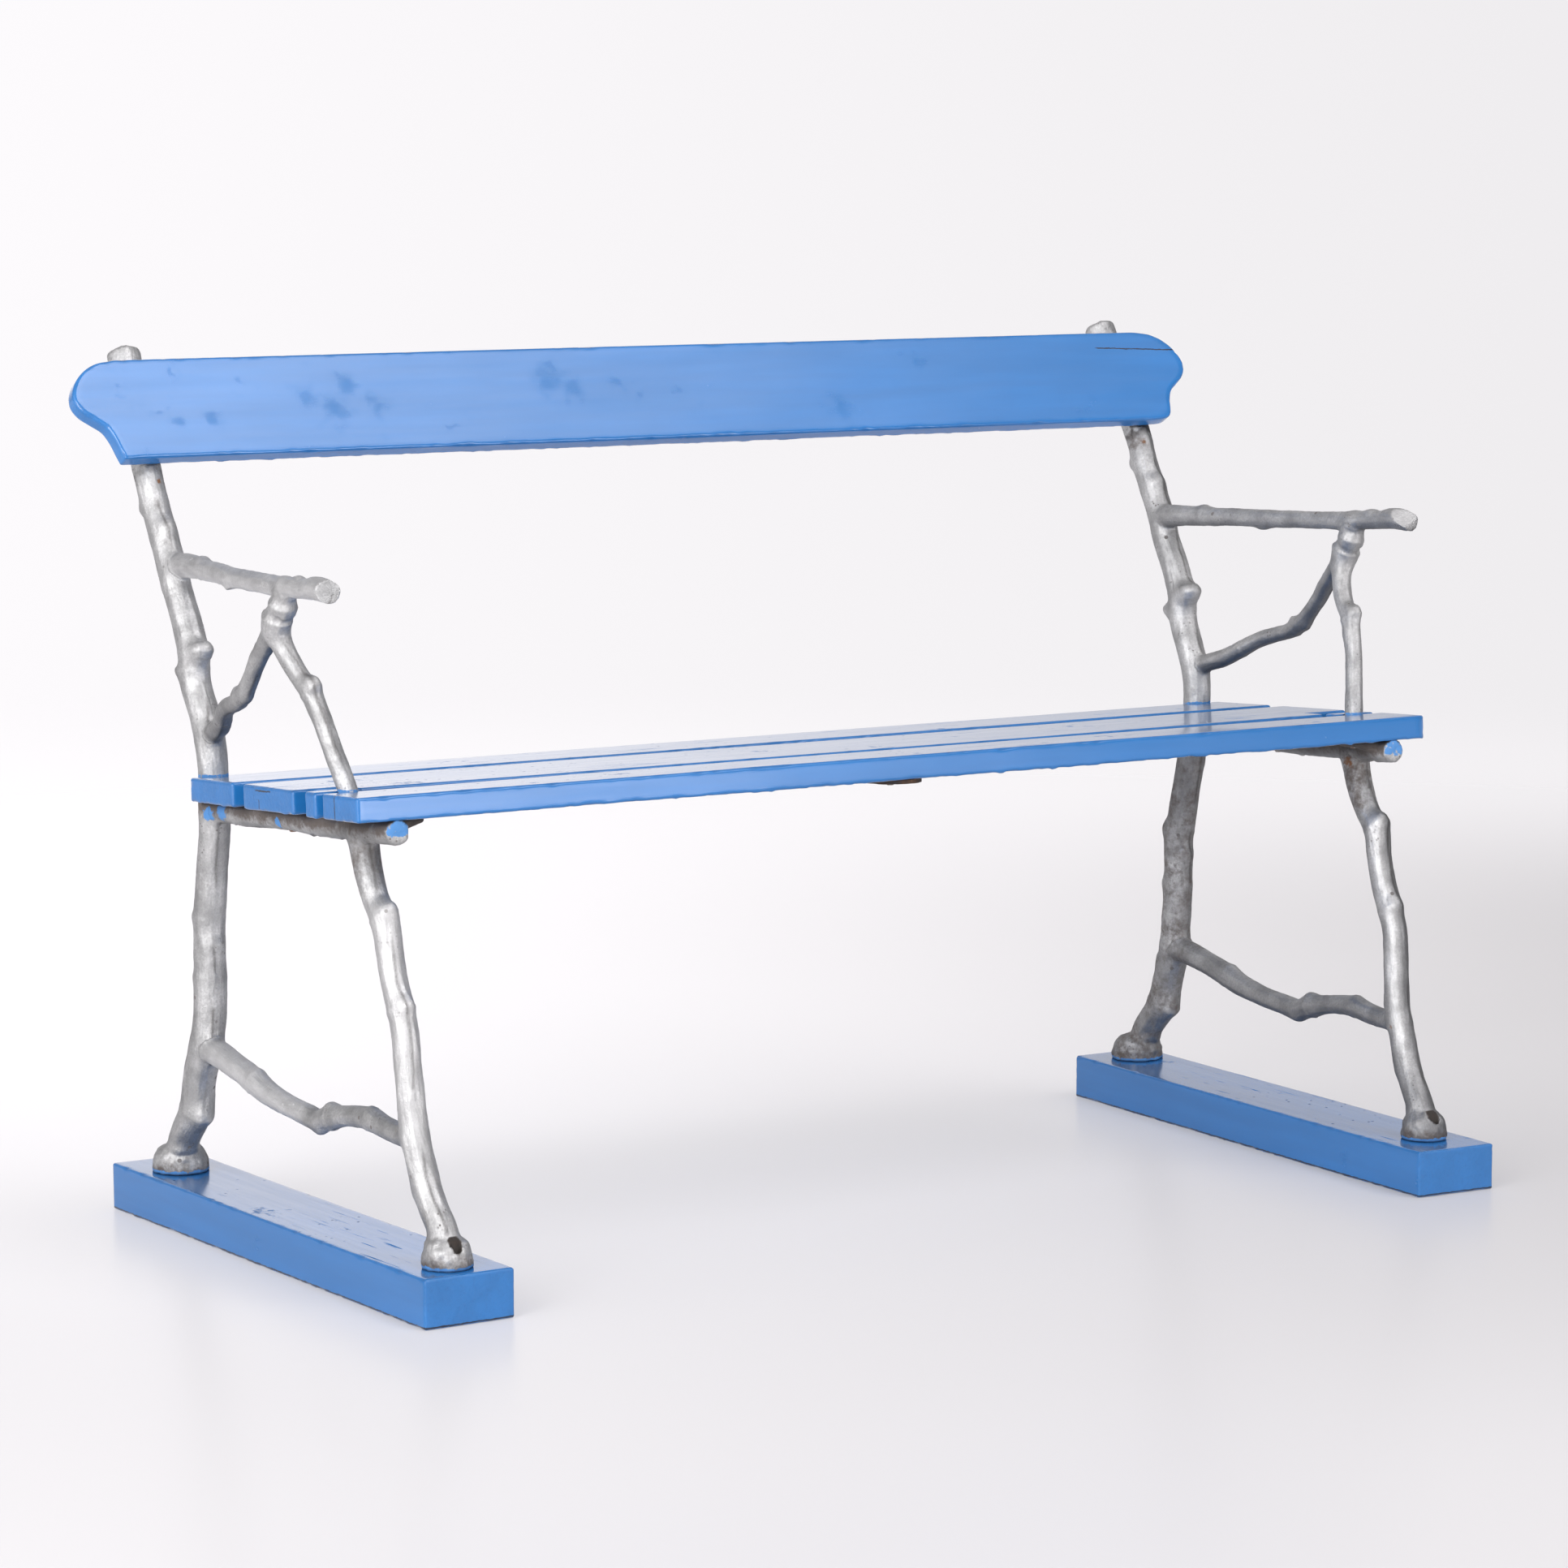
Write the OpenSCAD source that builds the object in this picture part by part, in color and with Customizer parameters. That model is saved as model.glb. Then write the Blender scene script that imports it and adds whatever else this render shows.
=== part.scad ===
// Rustic cast iron park bench: two branch-shaped end frames on timber foot planks,
// a leaning back rail and a three-board seat tied by a flat iron strap at mid-span.
// Millimetres, +Z up, X along the bench, -Y towards the sitter's knees.
// The origin is on the ground below the middle of the bench.

/* [Overall] */
// Distance between the centre planes of the two end frames
frame_spacing = 1187; // [1000:1:1500]
// Turn of each end frame that brings its front foot inwards, degrees
toe_in = 1.9; // [0:0.1:3]

/* [Foot planks] */
// Length of a foot plank, front to back
plank_l = 659; // [640:1:760]
// Width of a foot plank
plank_w = 96; // [88:1:140]
// Thickness of a foot plank
plank_h = 48; // [40:1:70]
// How far each plank's centre line lies inside its frame's plane
plank_inset = 8; // [0:1:12]
// How far the right plank is set forward of the left one
plank_stagger = 25; // [0:1:30]

/* [End frames] */
// Height of the seat's underside above the foot pads, at the middle of the frame
bearer_h = 403; // [390:1:415]
// Height of the armrest above the foot pads
arm_h = 629; // [610:1:660]
// How far the left armrest droops at its tip; the right one rises as much
arm_droop = 7; // [0:0.5:10]
// Thickness of all branches against the pattern
branch_scale = 1; // [0.9:0.02:1.1]
// How far the bearer's cut end stands back from the front edge of the seat
bearer_back = 3; // [0:1:12]
// Radius of the rear foot pad
rear_pad_r = 29; // [26:1:32]
// Radius of the front foot pad
front_pad_r = 24; // [22:1:28]
// Height of the foot pads up to the branch
pad_h = 26; // [20:1:34]
// Reach of the screw lug that grows inwards from the bearer under the front board
lug_reach = 38; // [36:1:60]
// Width of that lug, front to back
lug_w = 34; // [26:1:44]

/* [Seat] */
// Length of the seat boards
board_l = 1264; // [1240:1:1600]
// Thickness of the seat boards
board_t = 24; // [20:1:32]
// Backward tilt of the seat, degrees
seat_tilt = 3; // [2:0.5:4]
// Distance of the seat's front edge from the middle of the frames
seat_front = 225; // [222:1:232]
// Width of the front board at mid-span
front_board_w = 83; // [76:1:86]
// Gap between the front and the middle board at mid-span
front_gap = 15; // [12:1:20]
// Width of the middle board at mid-span
middle_board_w = 151; // [140:1:154]
// Gap between the middle and the rear board
rear_gap = 24; // [12:1:28]
// Width of the rear board
rear_board_w = 98; // [80:1:100]
// How much the two edges of the front gap part towards the board ends
edge_bow = 8.5; // [0:0.5:12]
// Length of the corner notches that clear the arm supports
notch_l = 56; // [54:1:62]
// Depth of the corner notches
notch_d = 31; // [28:1:36]
// Length of the filler blocks in the notches
filler_l = 50; // [46:1:53]
// Width of the filler blocks
filler_w = 22; // [16:1:24]
// Gap between a filler block and the front board
filler_gap = 15; // [12:1:17]
// Room between the boards and the iron that passes through them
leg_clear = 1.5; // [1:0.1:3]

/* [Back rail] */
// Length of the back rail
rail_l = 1369; // [1300:1:1700]
// Height of the back rail, along its lean
rail_w = 112; // [104:1:116]
// Thickness of the back rail
rail_t = 18; // [16:0.5:26]
// Lean of the back rail and of the posts behind it, degrees
rail_lean = 30; // [28:0.5:32]
// Distance of the rail's middle from the middle of the bench
rail_shift = -2; // [-7:1:7]
// Length of the ogee at each end of the rail
ogee_l = 56; // [40:1:80]

/* [Strap and screws] */
// Width of the flat iron strap under the seat
strap_w = 50; // [30:1:60]
// Thickness of the strap
strap_t = 5; // [3:0.5:8]
// Place of the strap along the bench
strap_x = -17; // [-60:1:60]
// Shank radius of the foot screws
foot_shank_r = 3.5; // [3:0.25:4]
// Length of the foot screws in the plank
foot_bite = 34; // [20:1:36]
// Shank radius of the seat, rail and strap screws
shank_r = 2.5; // [2:0.25:3]
// Length of those screws in the timber
bite = 13; // [8:1:14]
// Play between a screw and its hole
play = 0.15; // [0.05:0.05:0.3]

/* [Hidden] */
$fn = 32;

left = -1;
right = 1;
sides = [left, right];
outward = [1, 0, 0];

// Colours of the finishes
paint_blue = [0.36, 0.56, 0.86];
silver_iron = [0.72, 0.72, 0.72];
rust_iron = [0.33, 0.2, 0.12];
screw_iron = [0.45, 0.44, 0.42];

// A branch is a list of stations [y, z above the foot pads, outward bow, radius],
// joined by a smooth curve. A knot is [y, z, angle round the branch, height, reach]:
// angle 0 looks outwards, and 90 backwards on an upright branch or up on a level one.
post_stations = [
    [256, 2, -1, 17], [240, 36, 1, 16], [212, 68, 2, 17], [200, 102, 3, 16.5],
    [187, 136, 2, 16.8], [181, 168, 0, 16.5], [178, 202, 0, 16.5], [177, 232, 0, 16],
    [177, 262, 0, 16], [171, 292, 1, 16], [164, 326, 2, 15.5], [157, 357, 3, 15.5],
    [153, 392, 5, 15.5], [151, 422, 6, 15], [155, 452, 7, 15.3], [167, 480, 7, 15],
    [182, 508, 8, 15.5], [186, 538, 8, 15.5], [198, 566, 8, 15], [215, 594, 8, 14.5],
    [229, 623, 9, 14.8], [246, 652, 9, 14.5], [263, 681, 9, 14]
];
post_knots = [
    [209, 73, 270, 8, 9], [195, 120, 90, 6, 9], [179, 212, 90, 6, 10],
    [178, 246, 270, 4, 9], [174, 272, 90, 8, 11], [182, 522, 90, 14, 8],
    [187, 538, 270, 14, 8], [222, 607, 90, 4, 9], [250, 655, 270, 5, 10], [265, 685, 90, 8, 9]
];
leg_stations = [
    [-298, 2, -5, 15.5], [-287, 32, -4, 14.5], [-270, 56, -2, 13.8], [-257, 80, -1, 14],
    [-248, 105, 0, 13.5], [-240, 131, 0, 13.3], [-236, 158, 1, 13.3], [-233, 185, 2, 13.2],
    [-230, 212, 2, 13], [-220, 237, 2, 13], [-209, 262, 2, 13], [-201, 289, 2, 13],
    [-195, 315, 3, 13.5], [-177, 336, 3, 12.8], [-164, 361, 3, 12.8]
];
leg_knots = [
    [-197, 324, 270, 14, 8], [-222, 236, 270, 6, 10], [-238, 135, 90, 4, 9], [-262, 70, 90, 4, 9]
];
support_stations = [
    [-128, 471, 19, 9.2], [-120, 496, 24, 9.2], [-111, 518, 28, 9.4], [-103, 532, 31, 10],
    [-90, 544, 34, 9.5], [-79, 558, 38, 10], [-72, 572, 42, 10.5], [-69, 586, 46, 12.5],
    [-73, 600, 48, 14.5], [-81, 611, 47, 14], [-86, 622, 47, 12], [-88, 630, 47, 10]
];
support_knots = [
    [-102, 531, 270, 8, 7], [-71, 598, 90, 5, 6], [-112, 516, 90, 3, 8]
];
arm_stations = [
    [205, 626, 6, 12], [173, 627, 10, 11], [140, 627, 15, 10],
    [105, 628, 21, 9.8], [60, 628, 30, 10], [20, 629, 35, 9.5], [-30, 630, 40, 9.5],
    [-75, 631, 45, 10], [-105, 633, 48, 9.6], [-130, 635, 49, 10], [-156, 637, 49, 11],
    [-184, 635, 50, 10.5]
];
arm_knots = [
    [58, 628, 270, 6, 9], [-118, 634, 90, 3, 9], [150, 627, 90, 3, 10]
];
brace_stations = [
    [152, 458, 8, 9], [137, 465, 10, 9.5], [117, 471, 16, 9.5], [103, 477, 20, 9.3],
    [90, 484, 25, 9], [75, 492, 31, 8.8], [60, 498, 36, 8.8], [42, 503, 41, 8.5],
    [20, 509, 44, 8.5], [7, 517, 45, 9], [-6, 528, 46, 8.5], [-17, 539, 47, 8.3],
    [-26, 549, 48, 8.5], [-34, 559, 48, 9], [-44, 569, 48, 9], [-54, 580, 48, 9.3],
    [-68, 592, 48, 9.5]
];
brace_knots = [
    [14, 512, 90, 5, 8], [2, 521, 270, 3, 8]
];
stretcher_stations = [
    [187, 140, 1, 13.5], [153, 135, 1, 13], [126, 130, 1.5, 12.4], [100, 125, 1.5, 12.4],
    [76, 119, 1.5, 12.5], [52, 113, 1.5, 12], [27, 109, 1.5, 11], [0, 106, 1.5, 10.6],
    [-27, 104, 1.5, 10.6], [-55, 102, 1.5, 10.8], [-80, 109, 1.5, 12], [-108, 115, 1.5, 10.2],
    [-136, 119, 1.5, 10.2], [-163, 120, 1.5, 11.3], [-188, 117, 1.5, 10.6],
    [-214, 115, 1.5, 10.5], [-241, 115, 1.5, 10.5]
];
stretcher_knots = [
    [-84, 110, 90, 3, 8], [-58, 102, 270, 3, 8], [-163, 120, 90, 2, 8], [76, 119, 90, 2, 9]
];
// The bearer has its stations along the seat's slope: [distance, radius]
bearer_stations = [
    [140, 12], [110, 12], [75, 12.3], [40, 11.8], [5, 11.5], [-30, 12], [-77, 12.5],
    [-110, 12.6], [-145, 13], [-180, 13]
];
bearer_knots = [
    [96, 395, 270, 2.5, 9], [-60, 402, 270, 2.5, 9], [-128, 408, 90, 2, 9]
];
bearer_bow = 3;
bearer_end_r = 12.5;
// How far the bearer is planed flat under the boards
bearer_flat = 1.5;

// Where the pattern has its bearer, its seat and its armrest, and the armrest's two ends
pattern_bearer_h = 403;
pattern_seat_h = 430;
pattern_arm_h = 629;
arm_root_y = 205;
arm_below = 7;
arm_tip_y = -184;
// Where the pattern has the rail's lower back edge, and the top of the post below it
pattern_rail_y = 269;
pattern_rail_h = 723;
pattern_post_h = 681;

// Sides round a branch, and steps between two stations
thick_sides = 12;
thin_sides = 10;
long_steps = 3;
short_steps = 2;
// Width of a knot round its branch, degrees
knot_spread = 42;

// Post behind the rail: it runs parallel to the rail, this far behind the rail's back
post_behind_rail = 13;
post_top_r = 17;
post_top_over = 20;
rail_back_y = 269;
rail_low_h = 723;
rail_room = 0.3;
// Size of the cut that planes the bearers
plane_w = 120;
plane_over = 20;
// Room between the planed bearers and the boards
seat_room = 0.1;
// Where the posts and the arm supports pass the seat, along its slope
post_at_seat = 152;
support_at_seat = -141;

// Foot pads and their screws
rear_pad = [256, -2];
front_pad = [-294, -4];
// Screw of each pad, from the pad's centre along the frame
rear_screw_off = 21;
front_screw_off = -15;
pad_sink_r = 6;
pad_floor = 9;
foot_head_r = 5.5;
foot_head_h = 4;

// Screws of the seat, rail and strap
head_r = 5;
head_h = 3;
sink_r = 6.5;
sink_depth = 25;
// How far a hole goes on past the tip of its screw
hole_over = 0.5;
front_screw_edge = 35;
notch_screw_edge = 24;
middle_screw_edge = 35;
rail_screw_edge = 27;
// Depth of iron between a rail screw's head and the rail
rail_iron = 2 * post_behind_rail - 1;

// How far the strap stops short of the seat's front and rear edges
strap_inset = [4, 10];

// Heights above the ground
foot_z = plank_h;
seat_z = foot_z + bearer_h;
rail_back_z = foot_z + rail_low_h;

// Board edges along the seat's slope, from the front
front_edge = -seat_front;
front_board_rear = front_edge + front_board_w;
middle_board_front = front_board_rear + front_gap;
middle_board_rear = middle_board_front + middle_board_w;
rear_board_front = middle_board_rear + rear_gap;
rear_board_rear = rear_board_front + rear_board_w;
notch_rear = middle_board_front + edge_bow + notch_d;
filler_front = front_board_rear - edge_bow + filler_gap;
bearer_end = front_edge + bearer_back;

// Screws along the seat's slope, and up the rail
front_board_screw = front_edge + front_screw_edge;
bearer_screws = [
    (rear_board_front + rear_board_rear) / 2,
    middle_board_rear - middle_screw_edge,
    notch_rear + notch_screw_edge,
    filler_front + filler_w / 2,
    front_board_screw
];
rail_screws_w = [rail_screw_edge, rail_w - rail_screw_edge];

function clamp01(t) = min(1, max(0, t));
function unit(v) = v / norm(v);

// Catmull-Rom curve through the stations, with a number of steps in each span
function curve_point(a, b, c, d, t) =
    0.5 * (2 * b + (c - a) * t + (2 * a - 5 * b + 4 * c - d) * t * t
        + (3 * b - a - 3 * c + d) * t * t * t);
function curve(p, steps) = concat(
    [
        for (i = [0 : len(p) - 2])
            for (k = [0 : steps - 1])
                curve_point(p[max(i - 1, 0)], p[i], p[i + 1], p[min(i + 2, len(p) - 1)], k / steps)
    ],
    [p[len(p) - 1]]
);

// The armrest follows arm_h and droops to its tip, the branches below it also follow the seat
function arm_share(z) = clamp01((z - pattern_seat_h) / (pattern_arm_h - pattern_seat_h));
function droop_share(y) = clamp01((arm_root_y - y) / (arm_root_y - arm_tip_y));
function lift(y, z, side) =
    (arm_h - pattern_arm_h) * arm_share(z)
    + (bearer_h - pattern_bearer_h) * (1 - arm_share(z))
    + side * arm_droop * droop_share(y) * arm_share(z);
function lifted(p, side) =
    [for (q = p) [q[0], q[1] + lift(q[0], q[1], side), q[2], q[3]]];
function lifted_knots(p, side) =
    [for (q = p) [q[0], q[1] + lift(q[0], q[1], side), q[2], q[3], q[4]]];

// Seat slope: a point at distance s along the underside, h above it, as [y, z above foot]
function seat_y(s, h = 0) = s * cos(seat_tilt) + h * sin(seat_tilt);
function seat_h(s, h = 0) = bearer_h - s * sin(seat_tilt) + h * cos(seat_tilt);
function bearer_station(s, r) =
    let (h = bearer_flat - r * branch_scale)
        [seat_y(s, h), seat_h(s, h), bearer_bow, r];

// Rail frame: w along the rail's height from its lower back edge, n behind its back
function rail_y(w, n = 0) = rail_back_y + w * sin(rail_lean) + n * cos(rail_lean);
function rail_h(w, n = 0) = rail_low_h + w * cos(rail_lean) - n * sin(rail_lean);
function post_out(w) = 9 - 7 * w / rail_w;
function post_station(w, r) =
    [rail_y(w, post_behind_rail), rail_h(w, post_behind_rail), post_out(w), r];

// Whole branches; the post leans with the rail that it carries
function rail_share(z) = clamp01((z - pattern_seat_h) / (pattern_post_h - pattern_seat_h));
function post_y(y, z) = y + (rail_back_y - pattern_rail_y) * rail_share(z);
function post_z(z) = z + (rail_low_h - pattern_rail_h) * rail_share(z);
function post_knots_now() =
    [for (k = post_knots) [post_y(k[0], k[1]), post_z(k[1]), k[2], k[3], k[4]]];
function post() = concat(
    [for (q = post_stations) [post_y(q[0], q[1]), post_z(q[1]), q[2], q[3]]],
    [post_station(-2, 14.5), post_station(rail_w / 2, 15.5), post_station(rail_w, 16.5),
     post_station(rail_w + post_top_over, post_top_r)]
);
function bearer() = concat(
    [for (q = bearer_stations) bearer_station(q[0], q[1])],
    [bearer_station(bearer_end, bearer_end_r)]
);
function leg() = concat(
    [for (q = leg_stations) [q[0], q[1] * bearer_h / pattern_bearer_h, q[2], q[3]]],
    [bearer_station(-150, 13) - [0, 5, 0, 0], bearer_station(-146, 11)]
);
function leg_knots_now() =
    [for (k = leg_knots) [k[0], k[1] * bearer_h / pattern_bearer_h, k[2], k[3], k[4]]];
function support(side) = concat(
    [bearer_station(-147, 9.5) + [0, 0, 3, 0], [-140, seat_h(-140, board_t), 11, 9.5]],
    lifted(support_stations, side)
);
function arm(side) = concat(
    [let (p = passes(post(), arm_h - arm_below)) [p[1], p[2], p[0], 10]],
    lifted(arm_stations, side)
);

// Where a branch passes the height h, as [outward bow, y, h], and its radius there
function passes(p, h) = [
    lookup(h, [for (q = p) [q[1], q[2]]]),
    lookup(h, [for (q = p) [q[1], q[0]]]),
    h
];
function radius_at(p, h) = lookup(h, [for (q = p) [q[1], q[3]]]) * branch_scale;

// Direction of a branch at ring i
function heading(c, i) =
    let (
        a = c[max(i - 1, 0)],
        b = c[min(i + 1, len(c) - 1)]
    )
    unit([b[2] - a[2], b[0] - a[0], b[1] - a[1]]);
function knot_height(c, angle, knots) =
    len(knots) == 0 ? 0 : max([
        for (k = knots)
            let (
                along = norm([c[0] - k[0], c[1] - k[1]]) / k[4],
                turn = (((angle - k[2]) % 360 + 540) % 360 - 180) / knot_spread
            )
            k[3] * exp(-along * along) * exp(-turn * turn)
    ]);
function ring(c, i, count, knots, grow = 1, ahead = 0) =
    let (
        t = heading(c, i),
        u = unit(outward - (outward * t) * t),
        v = cross(t, u),
        q = c[i],
        r = q[3] * branch_scale * grow
    )
    [
        for (k = [0 : count - 1])
            let (
                angle = 360 * k / count,
                rho = r + knot_height(q, angle, knots)
            )
            [q[2], q[0], q[1]] + ahead * t + rho * (cos(angle) * u + sin(angle) * v)
    ];

// One branch as a closed tube; its far end is eased over a length tip
module branch(stations, knots, steps, count, tip = 0) {
    c = curve(stations, steps);
    last = len(c) - 1;
    rings = concat(
        [for (i = [0 : last]) ring(c, i, count, knots)],
        tip > 0 ? [ring(c, last, count, [], 0.9, tip * 0.7), ring(c, last, count, [], 0.6, tip)] : []
    );
    n = len(rings);
    points = [for (r = rings) for (p = r) p];
    walls = [
        for (i = [0 : n - 2])
            for (k = [0 : count - 1])
                let (
                    a = i * count + k,
                    b = i * count + (k + 1) % count
                )
                each [[a, a + count, b + count], [a, b + count, b]]
    ];
    start_cap = [for (k = [0 : count - 1]) k];
    end_cap = [for (k = [0 : count - 1]) n * count - 1 - k];
    polyhedron(points, concat([start_cap, end_cap], walls));
}

// Places a frame's own coordinates, which are drawn for the right side
module place(side) {
    translate([side * frame_spacing / 2, 0, foot_z])
        rotate([0, 0, -side * toe_in])
            mirror([side == left ? 1 : 0, 0, 0])
                children();
}

// Seat coordinates: X along the bench, Y up the slope, Z off the boards' underside
module on_seat() {
    translate([0, 0, seat_z])
        rotate([-seat_tilt, 0, 0])
            children();
}

// Rail coordinates: X along the rail, Y up the rail, Z forwards off its back face
module on_rail() {
    translate([0, rail_back_y, rail_back_z])
        rotate([90 - rail_lean, 0, 0])
            children();
}

// Bell of a foot pad: [share of the radius, share of the height] from the rim inwards
bell = [[1, 0], [1, 0.3], [0.96, 0.52], [0.86, 0.76], [0.68, 1], [0, 1]];
module foot_pad(at, r) {
    translate([at[1], at[0], 0])
        rotate_extrude()
            polygon(concat([[0, 0]], [for (b = bell) [b[0] * r, b[1] * pad_h]]));
}

// Screw lug: a wedge that tapers inwards from the bearer, under the front board
module lug() {
    on_seat_local()
        translate([bearer_bow, front_board_screw + lug_w / 2, 0])
            rotate([90, 0, 0])
                linear_extrude(lug_w)
                    polygon([[0, 0], [-lug_reach, 0], [-lug_reach, -lug_iron], [0, -lug_root]]);
}

// Seat slope in a frame's own coordinates
module on_seat_local() {
    translate([0, 0, bearer_h])
        rotate([-seat_tilt, 0, 0])
            children();
}

// The casting, before it is drilled: branches grown into one another
module casting(side) {
    resize([0, 0, 0]) {
        branch(post(), post_knots_now(), long_steps, thick_sides, 4);
        branch(leg(), leg_knots_now(), long_steps, thick_sides);
        branch(support(side), lifted_knots(support_knots, side), short_steps, thin_sides);
        branch(arm(side), lifted_knots(arm_knots, side), long_steps, thin_sides, 2);
        branch(lifted(brace_stations, side), lifted_knots(brace_knots, side), short_steps, thin_sides);
        branch(stretcher_stations, stretcher_knots, long_steps, thin_sides);
        difference() {
            union() {
                branch(bearer(), bearer_knots, long_steps, thick_sides, 2);
                lug();
            }
            on_seat_local()
                translate([-plane_w / 2, front_edge - plane_over, -seat_room])
                    cube([plane_w, rear_board_rear - front_edge + 2 * plane_over, plane_over]);
        }
        foot_pad(rear_pad, rear_pad_r);
        foot_pad(front_pad, front_pad_r);
    }
}

// Places of the screws, each with its Z along the screw, into the timber
module at_foot_screws() {
    for (p = [rear_pad + [rear_screw_off, 0], front_pad + [front_screw_off, 0]])
        translate([p[1], p[0], pad_floor])
            rotate([180, 0, 0])
                children();
}

// Depth of iron between a screw's head and the boards
bearer_iron = 20;
lug_iron = 5;
lug_root = 16;
lug_screw_x = 10 - lug_reach;

module at_bearer_screws() {
    on_seat_local()
        for (s = bearer_screws)
            translate([bearer_bow, s, -bearer_iron])
                children();
}

module at_lug_screw() {
    on_seat_local()
        translate([bearer_bow + lug_screw_x, front_board_screw, -lug_iron])
            children();
}

module at_rail_screws() {
    for (w = rail_screws_w)
        translate([post_out(w), rail_y(w, rail_iron), rail_h(w, rail_iron)])
            rotate([90 - rail_lean, 0, 0])
                children();
}

module screw(length, r, top_r, top_h) {
    cylinder(r = r, h = length);
    translate([0, 0, -top_h])
        cylinder(r1 = top_r * 0.6, r2 = top_r, h = top_h);
}

// Hole for a screw, with a sink for its head
module screw_hole(length, r, sink) {
    cylinder(r = r + play, h = length);
    translate([0, 0, -sink_depth])
        cylinder(r = sink, h = sink_depth);
}

module end_frame(side) {
    color(silver_iron)
        difference() {
            place(side) casting(side);
            place(side) {
                at_foot_screws() screw_hole(pad_floor + hole_over, foot_shank_r, pad_sink_r);
                at_bearer_screws() screw_hole(bearer_iron + hole_over, shank_r, sink_r);
                at_lug_screw() screw_hole(lug_iron + hole_over, shank_r, sink_r);
                at_rail_screws() screw_hole(rail_iron + hole_over, shank_r, sink_r);
            }
            on_rail()
                translate([-rail_l, -rail_room, 0])
                    cube([2 * rail_l, rail_w + 2 * rail_room, 2 * rail_t]);
        }
}

module left_end_frame() {
    end_frame(left);
}

module right_end_frame() {
    end_frame(right);
}

module foot_plank(side) {
    color(paint_blue)
        difference() {
            translate([0, side == right ? -plank_stagger : 0, 0])
                translate([side * (frame_spacing / 2 - plank_inset), 0, 0])
                    rotate([0, 0, -side * toe_in])
                        translate([-plank_w / 2, -plank_l / 2, 0])
                            cube([plank_w, plank_l, plank_h]);
            place(side)
                at_foot_screws()
                    cylinder(r = foot_shank_r + play, h = pad_floor + foot_bite + hole_over);
        }
}

module left_foot_plank() {
    foot_plank(left);
}

module right_foot_plank() {
    foot_plank(right);
}

// Ogee end of the rail, from the top edge down: [distance in from the tip, height share]
ogee = [
    [1, 1], [0.58, 0.965], [0.28, 0.875], [0.08, 0.75], [0, 0.61], [0.1, 0.49],
    [0.31, 0.4], [0.5, 0.32], [0.6, 0.21], [0.66, 0.09], [0.71, 0]
];
module back_rail() {
    tip = rail_l / 2;
    edge = [for (p = curve(ogee, long_steps)) [tip - p[0] * ogee_l, p[1] * rail_w]];
    other_edge = [for (p = reversed(edge)) [-p[0], p[1]]];
    color(paint_blue)
        difference() {
            on_rail()
                translate([rail_shift, 0, 0])
                    linear_extrude(rail_t)
                        polygon(concat(edge, other_edge));
            for (side = sides)
                place(side)
                    at_rail_screws()
                        cylinder(r = shank_r + play, h = rail_iron + bite + hole_over);
        }
}

// Hole along a branch that passes the boards, whose undersides are at height h there
module clearance_hole(stations, h) {
    a = passes(stations, h);
    b = passes(stations, h + board_t);
    d = b - a;
    translate(a - d)
        rotate([0, acos(d[2] / norm(d)), atan2(d[1], d[0])])
            cylinder(r = radius_at(stations, h) + leg_clear, h = 3 * norm(d));
}

// What passes through the seat: the posts, the arm supports and the screws
module seat_cuts() {
    for (side = sides)
        place(side) {
            clearance_hole(post(), seat_h(post_at_seat));
            clearance_hole(support(side), seat_h(support_at_seat));
            at_bearer_screws()
                cylinder(r = shank_r + play, h = bearer_iron + bite + hole_over);
            at_lug_screw()
                cylinder(r = shank_r + play, h = lug_iron + bite + hole_over);
        }
    at_strap_screws()
        cylinder(r = shank_r + play, h = strap_t + bite + hole_over);
}

// Bowed edge of a board from -half to half: level at mid-span, the whole bow at its ends
bow_steps = 12;
function bowed(y, bow, half) = [
    for (i = [0 : bow_steps])
        let (x = half * (2 * i / bow_steps - 1), t = 2 * x / board_l)
            [x, y + bow * t * t]
];
function reversed(p) = [for (i = [0 : len(p) - 1]) p[len(p) - 1 - i]];

module board(outline) {
    color(paint_blue)
        difference() {
            on_seat()
                linear_extrude(board_t)
                    polygon(outline);
            seat_cuts();
        }
}

module rear_seat_board() {
    x = board_l / 2;
    board([
        [-x, rear_board_front], [x, rear_board_front], [x, rear_board_rear], [-x, rear_board_rear]
    ]);
}

module middle_seat_board() {
    x = board_l / 2;
    inner = x - notch_l;
    board(concat(
        [[-x, notch_rear], [-inner, notch_rear]],
        bowed(middle_board_front, edge_bow, inner),
        [[inner, notch_rear], [x, notch_rear], [x, middle_board_rear], [-x, middle_board_rear]]
    ));
}

module front_seat_board() {
    x = board_l / 2;
    board(concat(
        [[-x, front_edge], [x, front_edge]], reversed(bowed(front_board_rear, -edge_bow, x))
    ));
}

module filler_block(side) {
    x = side * board_l / 2;
    inner = x - side * filler_l;
    board([
        [min(x, inner), filler_front], [max(x, inner), filler_front],
        [max(x, inner), filler_front + filler_w], [min(x, inner), filler_front + filler_w]
    ]);
}

module left_filler_block() {
    filler_block(left);
}

module right_filler_block() {
    filler_block(right);
}

strap_front = front_edge + strap_inset[0];
strap_rear = rear_board_rear - strap_inset[1];
strap_screw_list = [
    (rear_board_front + rear_board_rear) / 2,
    (middle_board_front + middle_board_rear) / 2,
    (front_edge + front_board_rear) / 2
];
module at_strap_screws() {
    on_seat()
        for (s = strap_screw_list)
            translate([strap_x, s, -strap_t])
                children();
}

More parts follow.
